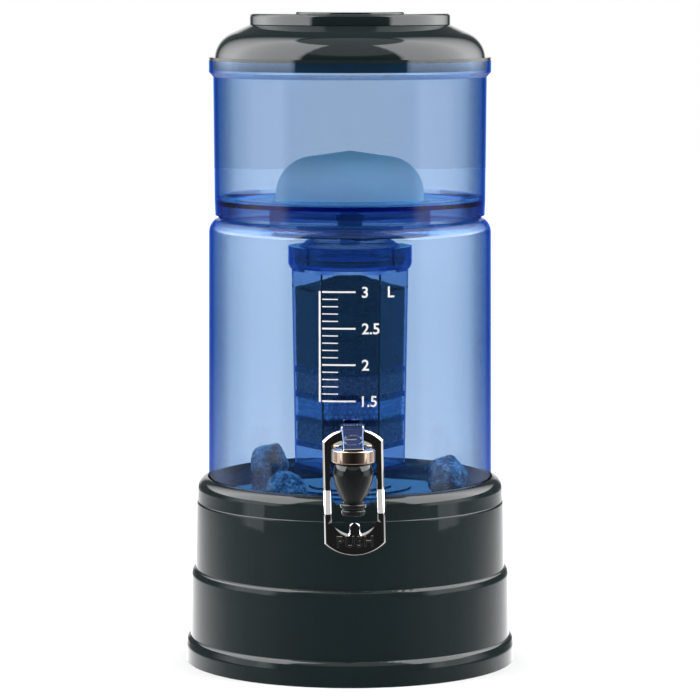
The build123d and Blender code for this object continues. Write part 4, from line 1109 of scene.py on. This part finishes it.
def top_sites(low, foot, high, tip, pitch, sink, chance):
    """Places over a rounded mound, from its foot to its tip."""
    sites = []
    rings = int(hypot(foot - tip, high - low) / pitch)
    for ring in range(rings + 1):
        share = ring / rings
        radius = foot + (tip - foot) * share
        count = int(2 * pi * radius / pitch)
        for i in range(count):
            turn = 2 * pi * (i + chance.uniform(-TOP_UNEVEN, TOP_UNEVEN)) / count
            z = low + (high - low) * share - sink + chance.uniform(-TOP_UNEVEN, TOP_UNEVEN) * pitch
            sites.append(Vector((radius * cos(turn), radius * sin(turn), z)))
    for ring in range(1, int(tip / pitch) + 1):
        radius = tip - ring * pitch
        for i in range(max(1, int(2 * pi * radius / pitch))):
            turn = chance.uniform(0, 2 * pi)
            sites.append(Vector((radius * cos(turn), radius * sin(turn), high - sink)))
    return sites


def core_prism(low, high, inset):
    """Hexagonal core behind the loose grains, as points and faces."""
    vertices = []
    for z in (low, high):
        corner = jar_inside(z) - inset / cos(pi / 6)
        vertices += [hexagon_corner(corner, i) + Vector((0, 0, z)) for i in range(6)]
    faces = [tuple(range(5, -1, -1)), tuple(range(6, 12))]
    faces += [(i, (i + 1) % 6, (i + 1) % 6 + 6, i + 6) for i in range(6)]
    return vertices, faces


def grain_shape(detail):
    """Unit ball or pebble to scatter, as points and faces."""
    bm = bmesh.new()
    bmesh.ops.create_icosphere(bm, subdivisions=detail, radius=1)
    points = [v.co.copy() for v in bm.verts]
    faces = [tuple(v.index for v in face.verts) for face in bm.faces]
    bm.free()
    return points, faces


def scatter_bed(name, sites, radius, uneven, detail, core, material, slot, node, chance):
    """Bed of loose grains round a core: each has its own turn, size and tone."""
    shape, shape_faces = grain_shape(detail)
    vertices, faces = list(core[0]), list(core[1])
    # The core takes the darker tone: painted shade between the grains.
    tones = [CORE_SHADE_TONE] * len(vertices)
    for site in sites:
        turn = Euler([chance.uniform(0, 2 * pi) for _ in range(3)]).to_matrix()
        size = Vector([radius * (1 - uneven * chance.random()) for _ in range(3)])
        start = len(vertices)
        vertices += [site + turn @ (point * size) for point in shape]
        faces += [tuple(start + i for i in face) for face in shape_faces]
        tones += [chance.random()] * len(shape)
    bed = piece_from(name, vertices, faces, material, smooth=detail > 1)
    bed.data.attributes.new("tone", "FLOAT", "POINT").data.foreach_set("value", tones)
    seat_piece(bed, "cartridge", slot, node)


def node_heights(node):
    low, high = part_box(node)
    return low.z / MM, high.z / MM


def mound_core(core, foot, high):
    """Core with a rounded mound on it, behind the carbon's top grains."""
    start = len(core[0])
    top = high + CARBON_MOUND_H - CARBON_TOP_CORE * CARBON_R
    points = []
    for radius, z in ((foot - MOUND_IN, high - MOUND_SUNK), (CARBON_MOUND_R, top)):
        for i in range(MOUND_SIDES):
            turn = 2 * pi * i / MOUND_SIDES
            points.append(Vector((radius * cos(turn), radius * sin(turn), z)))
    low_ring = [start + i for i in range(MOUND_SIDES)]
    high_ring = [start + MOUND_SIDES + i for i in range(MOUND_SIDES)]
    faces = [tuple(high_ring), tuple(low_ring[::-1])]
    for i in range(MOUND_SIDES):
        after = (i + 1) % MOUND_SIDES
        faces.append((low_ring[i], low_ring[after], high_ring[after], high_ring[i]))
    return core[0] + points, core[1] + faces


def make_bead_bed(chance):
    low, high = node_heights("ceramic_beads")
    sites = side_sites(low, high, BEAD_PITCH * BEAD_R, BEAD_RISE * BEAD_R, BEAD_R, chance)
    core = core_prism(low, high, BEAD_CORE * BEAD_R)
    scatter_bed("bead_bed", sites, BEAD_R, 0.06, 3, core, BEADS, "ceramic_beads", "ceramic_beads", chance)


def make_granule_bed(name, node, chance):
    low, high = node_heights(node)
    sites = side_sites(low, high, GRANULE_PITCH * GRANULE_R, GRANULE_RISE * GRANULE_R, GRANULE_R, chance)
    core = core_prism(low, high, GRANULE_CORE * GRANULE_R)
    scatter_bed(name, sites, GRANULE_R, 0.35, 1, core, GRANULES, "mineral_granules", node, chance)


def make_carbon_bed(chance):
    low, high = node_heights("carbon_fill")
    high -= CARBON_MOUND_H
    pitch = CARBON_TOP_PITCH * CARBON_R
    sites = side_sites(low, high, CARBON_PITCH * CARBON_R, CARBON_RISE * CARBON_R, CARBON_R, chance)
    foot = jar_inside(high) * cos(pi / 6) - CARBON_R
    sites += top_sites(high, foot, high + CARBON_MOUND_H, CARBON_MOUND_R, pitch, CARBON_R, chance)
    sites += top_sites(high, foot + CARBON_SHELF, high, foot, pitch, CARBON_R, chance)
    core = core_prism(low, high - CARBON_TOP_CORE * CARBON_R, CARBON_CORE * CARBON_R)
    core = mound_core(core, foot, high)
    scatter_bed("carbon_bed", sites, CARBON_R, 0.4, 1, core, CARBON, "carbon", "carbon_fill", chance)


def make_fillings():
    """The cartridge's four beds, from one run of chances."""
    chance = Random(11)
    make_bead_bed(chance)
    make_granule_bed("granule_bed_low", "lower_granules", chance)
    make_granule_bed("granule_bed_high", "upper_granules", chance)
    make_carbon_bed(chance)


# ---------------------------------------------------------------- mineral stones

STONE_SEEDS = {"left": 5, "front": 23, "right": 41}
STONE_DETAIL = 6        # times that its ball's faces are split
FACETS, FACET_SPREAD = 15, 0.8      # facets' number, and how near in direction two may be
FACET_DEPTHS = (0.8, 0.98)
FACET_CRISPNESS = 14
SKIN_BUMPS = ((0.035, 2.6), (0.014, 7.0), (0.005, 19.0))    # height and scale of each
STONE_BURIED = 0.12     # share of its height that its flat cuts off
STONE_FLAT_RISE = 0.03


def stone_facets(chance):
    """Directions of a stone's worn facets, and how far out each lies."""
    facets = []
    while len(facets) < FACETS:
        direction = Vector([chance.gauss(0, 1) for _ in range(3)]).normalized()
        if all(direction.dot(other) < FACET_SPREAD for other, _ in facets):
            facets.append((direction, chance.uniform(*FACET_DEPTHS)))
    return facets


def make_stone(place, seed):
    """Tumbled quartz: broad worn facets, a pitted skin, and the flat that it stands on."""
    node = f"mineral_stone_{place}"
    low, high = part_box(node)
    facets = stone_facets(Random(seed))
    bm = bmesh.new()
    bmesh.ops.create_icosphere(bm, subdivisions=STONE_DETAIL, radius=1)
    drift = Vector((seed, seed / 3, -seed))
    for vertex in bm.verts:
        way = vertex.co.normalized()
        shares = [way.dot(direction) / depth for direction, depth in facets]
        reach = sum(max(0.0, share) ** FACET_CRISPNESS for share in shares) ** (-1 / FACET_CRISPNESS)
        reach += sum(height * noise.noise(way * scale + drift) for height, scale in SKIN_BUMPS)
        vertex.co = way * reach
    corners = [[f(v.co[axis] for v in bm.verts) for f in (min, max)] for axis in range(3)]
    for vertex in bm.verts:
        shares = [(value - first) / (last - first) for value, (first, last) in zip(vertex.co, corners)]
        height = (shares[2] - STONE_BURIED) / (1 - STONE_BURIED)
        shares[2] = max(0.0, height, STONE_FLAT_RISE * min(0.0, height) ** 2)
        vertex.co = Vector([a + (b - a) * share for a, b, share in zip(low, high, shares)]) / MM
    stone = piece_from_bmesh(f"quartz_{place}", bm, STONE)
    seat_piece(stone, "reservoir", "mineral_stone", node)


# ---------------------------------------------------------------- litre scale

PRINT_R = 92.45         # just proud of the lower tank's side
PRINT_T = 0.06
PRINT_STEP = 1.5        # width of each flat strip of the wrapped print
PRINT_REACH = 60.0      # half of the width that is cut into strips
PRINT_SHARP = 40
LITRE_MARKS = (("1.5", 179.7), ("2", 202.6), ("2.5", 225.5), ("3", 248.5))
LITRE_TENTHS = 5        # from one mark to the next
SPINE_X, SPINE_W = -21.2, 1.2
MARK_X, MARK_W, TICK_W = -19, 21, 10
MARK_HALF_H, TICK_HALF_H = 0.55, 0.35
NUMBER_X, NUMBER_SIZE, NUMBER_DROP, NUMBER_WEIGHT = 6, 9.6, 3.4, 0.16
UNIT_X = 22.5
BOX_FACES = ((3, 2, 1, 0), (4, 5, 6, 7), (0, 1, 5, 4), (1, 2, 6, 5), (2, 3, 7, 6), (3, 0, 4, 7))


def add_bar(bm, left, width, low, high):
    """Flat bar of print."""
    corners = []
    for depth in (0, PRINT_T):
        for x, z in ((left, low), (left + width, low), (left + width, high), (left, high)):
            corners.append(bm.verts.new((x, z, depth)))
    for face in BOX_FACES:
        bm.faces.new([corners[i] for i in face])


def add_number(bm, text, left, level):
    """Number in print, with its left edge at a place and its middle at a mark's level."""
    mesh = lettering(text, NUMBER_SIZE, PRINT_T / 2, weight=NUMBER_WEIGHT)
    before = len(bm.verts)
    bm.from_mesh(mesh)
    bpy.data.meshes.remove(mesh)
    bm.verts.ensure_lookup_table()
    fresh = bm.verts[before:]
    shift = left - min(v.co.x for v in fresh)
    for vertex in fresh:
        vertex.co += Vector((shift, level - NUMBER_DROP, PRINT_T / 2))


def wrap_print(bm):
    """Flat print cut into strips and bent round the tank."""
    x = -PRINT_REACH
    while x < PRINT_REACH:
        everything = bm.verts[:] + bm.edges[:] + bm.faces[:]
        bmesh.ops.bisect_plane(bm, geom=everything, plane_co=(x, 0, 0), plane_no=(1, 0, 0))
        x += PRINT_STEP
    for vertex in bm.verts:
        x, z, depth = vertex.co
        turn, radius = x / PRINT_R, PRINT_R + depth
        vertex.co = (radius * sin(turn), -radius * cos(turn), z)


def make_litre_scale():
    """White scale of litres on the lower tank, wrapped round its side."""
    bm = bmesh.new()
    levels = [z for _, z in LITRE_MARKS]
    for (text, z), after in zip(LITRE_MARKS, levels[1:] + [None]):
        add_bar(bm, MARK_X, MARK_W, z - MARK_HALF_H, z + MARK_HALF_H)
        add_number(bm, text, NUMBER_X, z)
        if after:
            for i in range(1, LITRE_TENTHS):
                tick = z + (after - z) * i / LITRE_TENTHS
                add_bar(bm, MARK_X, TICK_W, tick - TICK_HALF_H, tick + TICK_HALF_H)
    add_bar(bm, SPINE_X, SPINE_W, levels[0] - MARK_HALF_H, levels[-1] + MARK_HALF_H)
    add_number(bm, "L", UNIT_X, levels[-1])
    wrap_print(bm)
    scale = piece_from_bmesh("litre_scale", bm, PRINT, PRINT_SHARP)
    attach(scale, "reservoir")


LIGHT_BOUNCES = 24      # enough for light to cross every clear wall

make_studio()
dress_nodes()
make_push_lever()
make_lever_letters()
make_collar_ring()
make_fillings()
for stone_place, stone_seed in STONE_SEEDS.items():
    make_stone(stone_place, stone_seed)
make_litre_scale()

scene.view_settings.view_transform = "Standard"
scene.cycles.max_bounces = LIGHT_BOUNCES
scene.cycles.transmission_bounces = LIGHT_BOUNCES
scene.cycles.transparent_max_bounces = LIGHT_BOUNCES
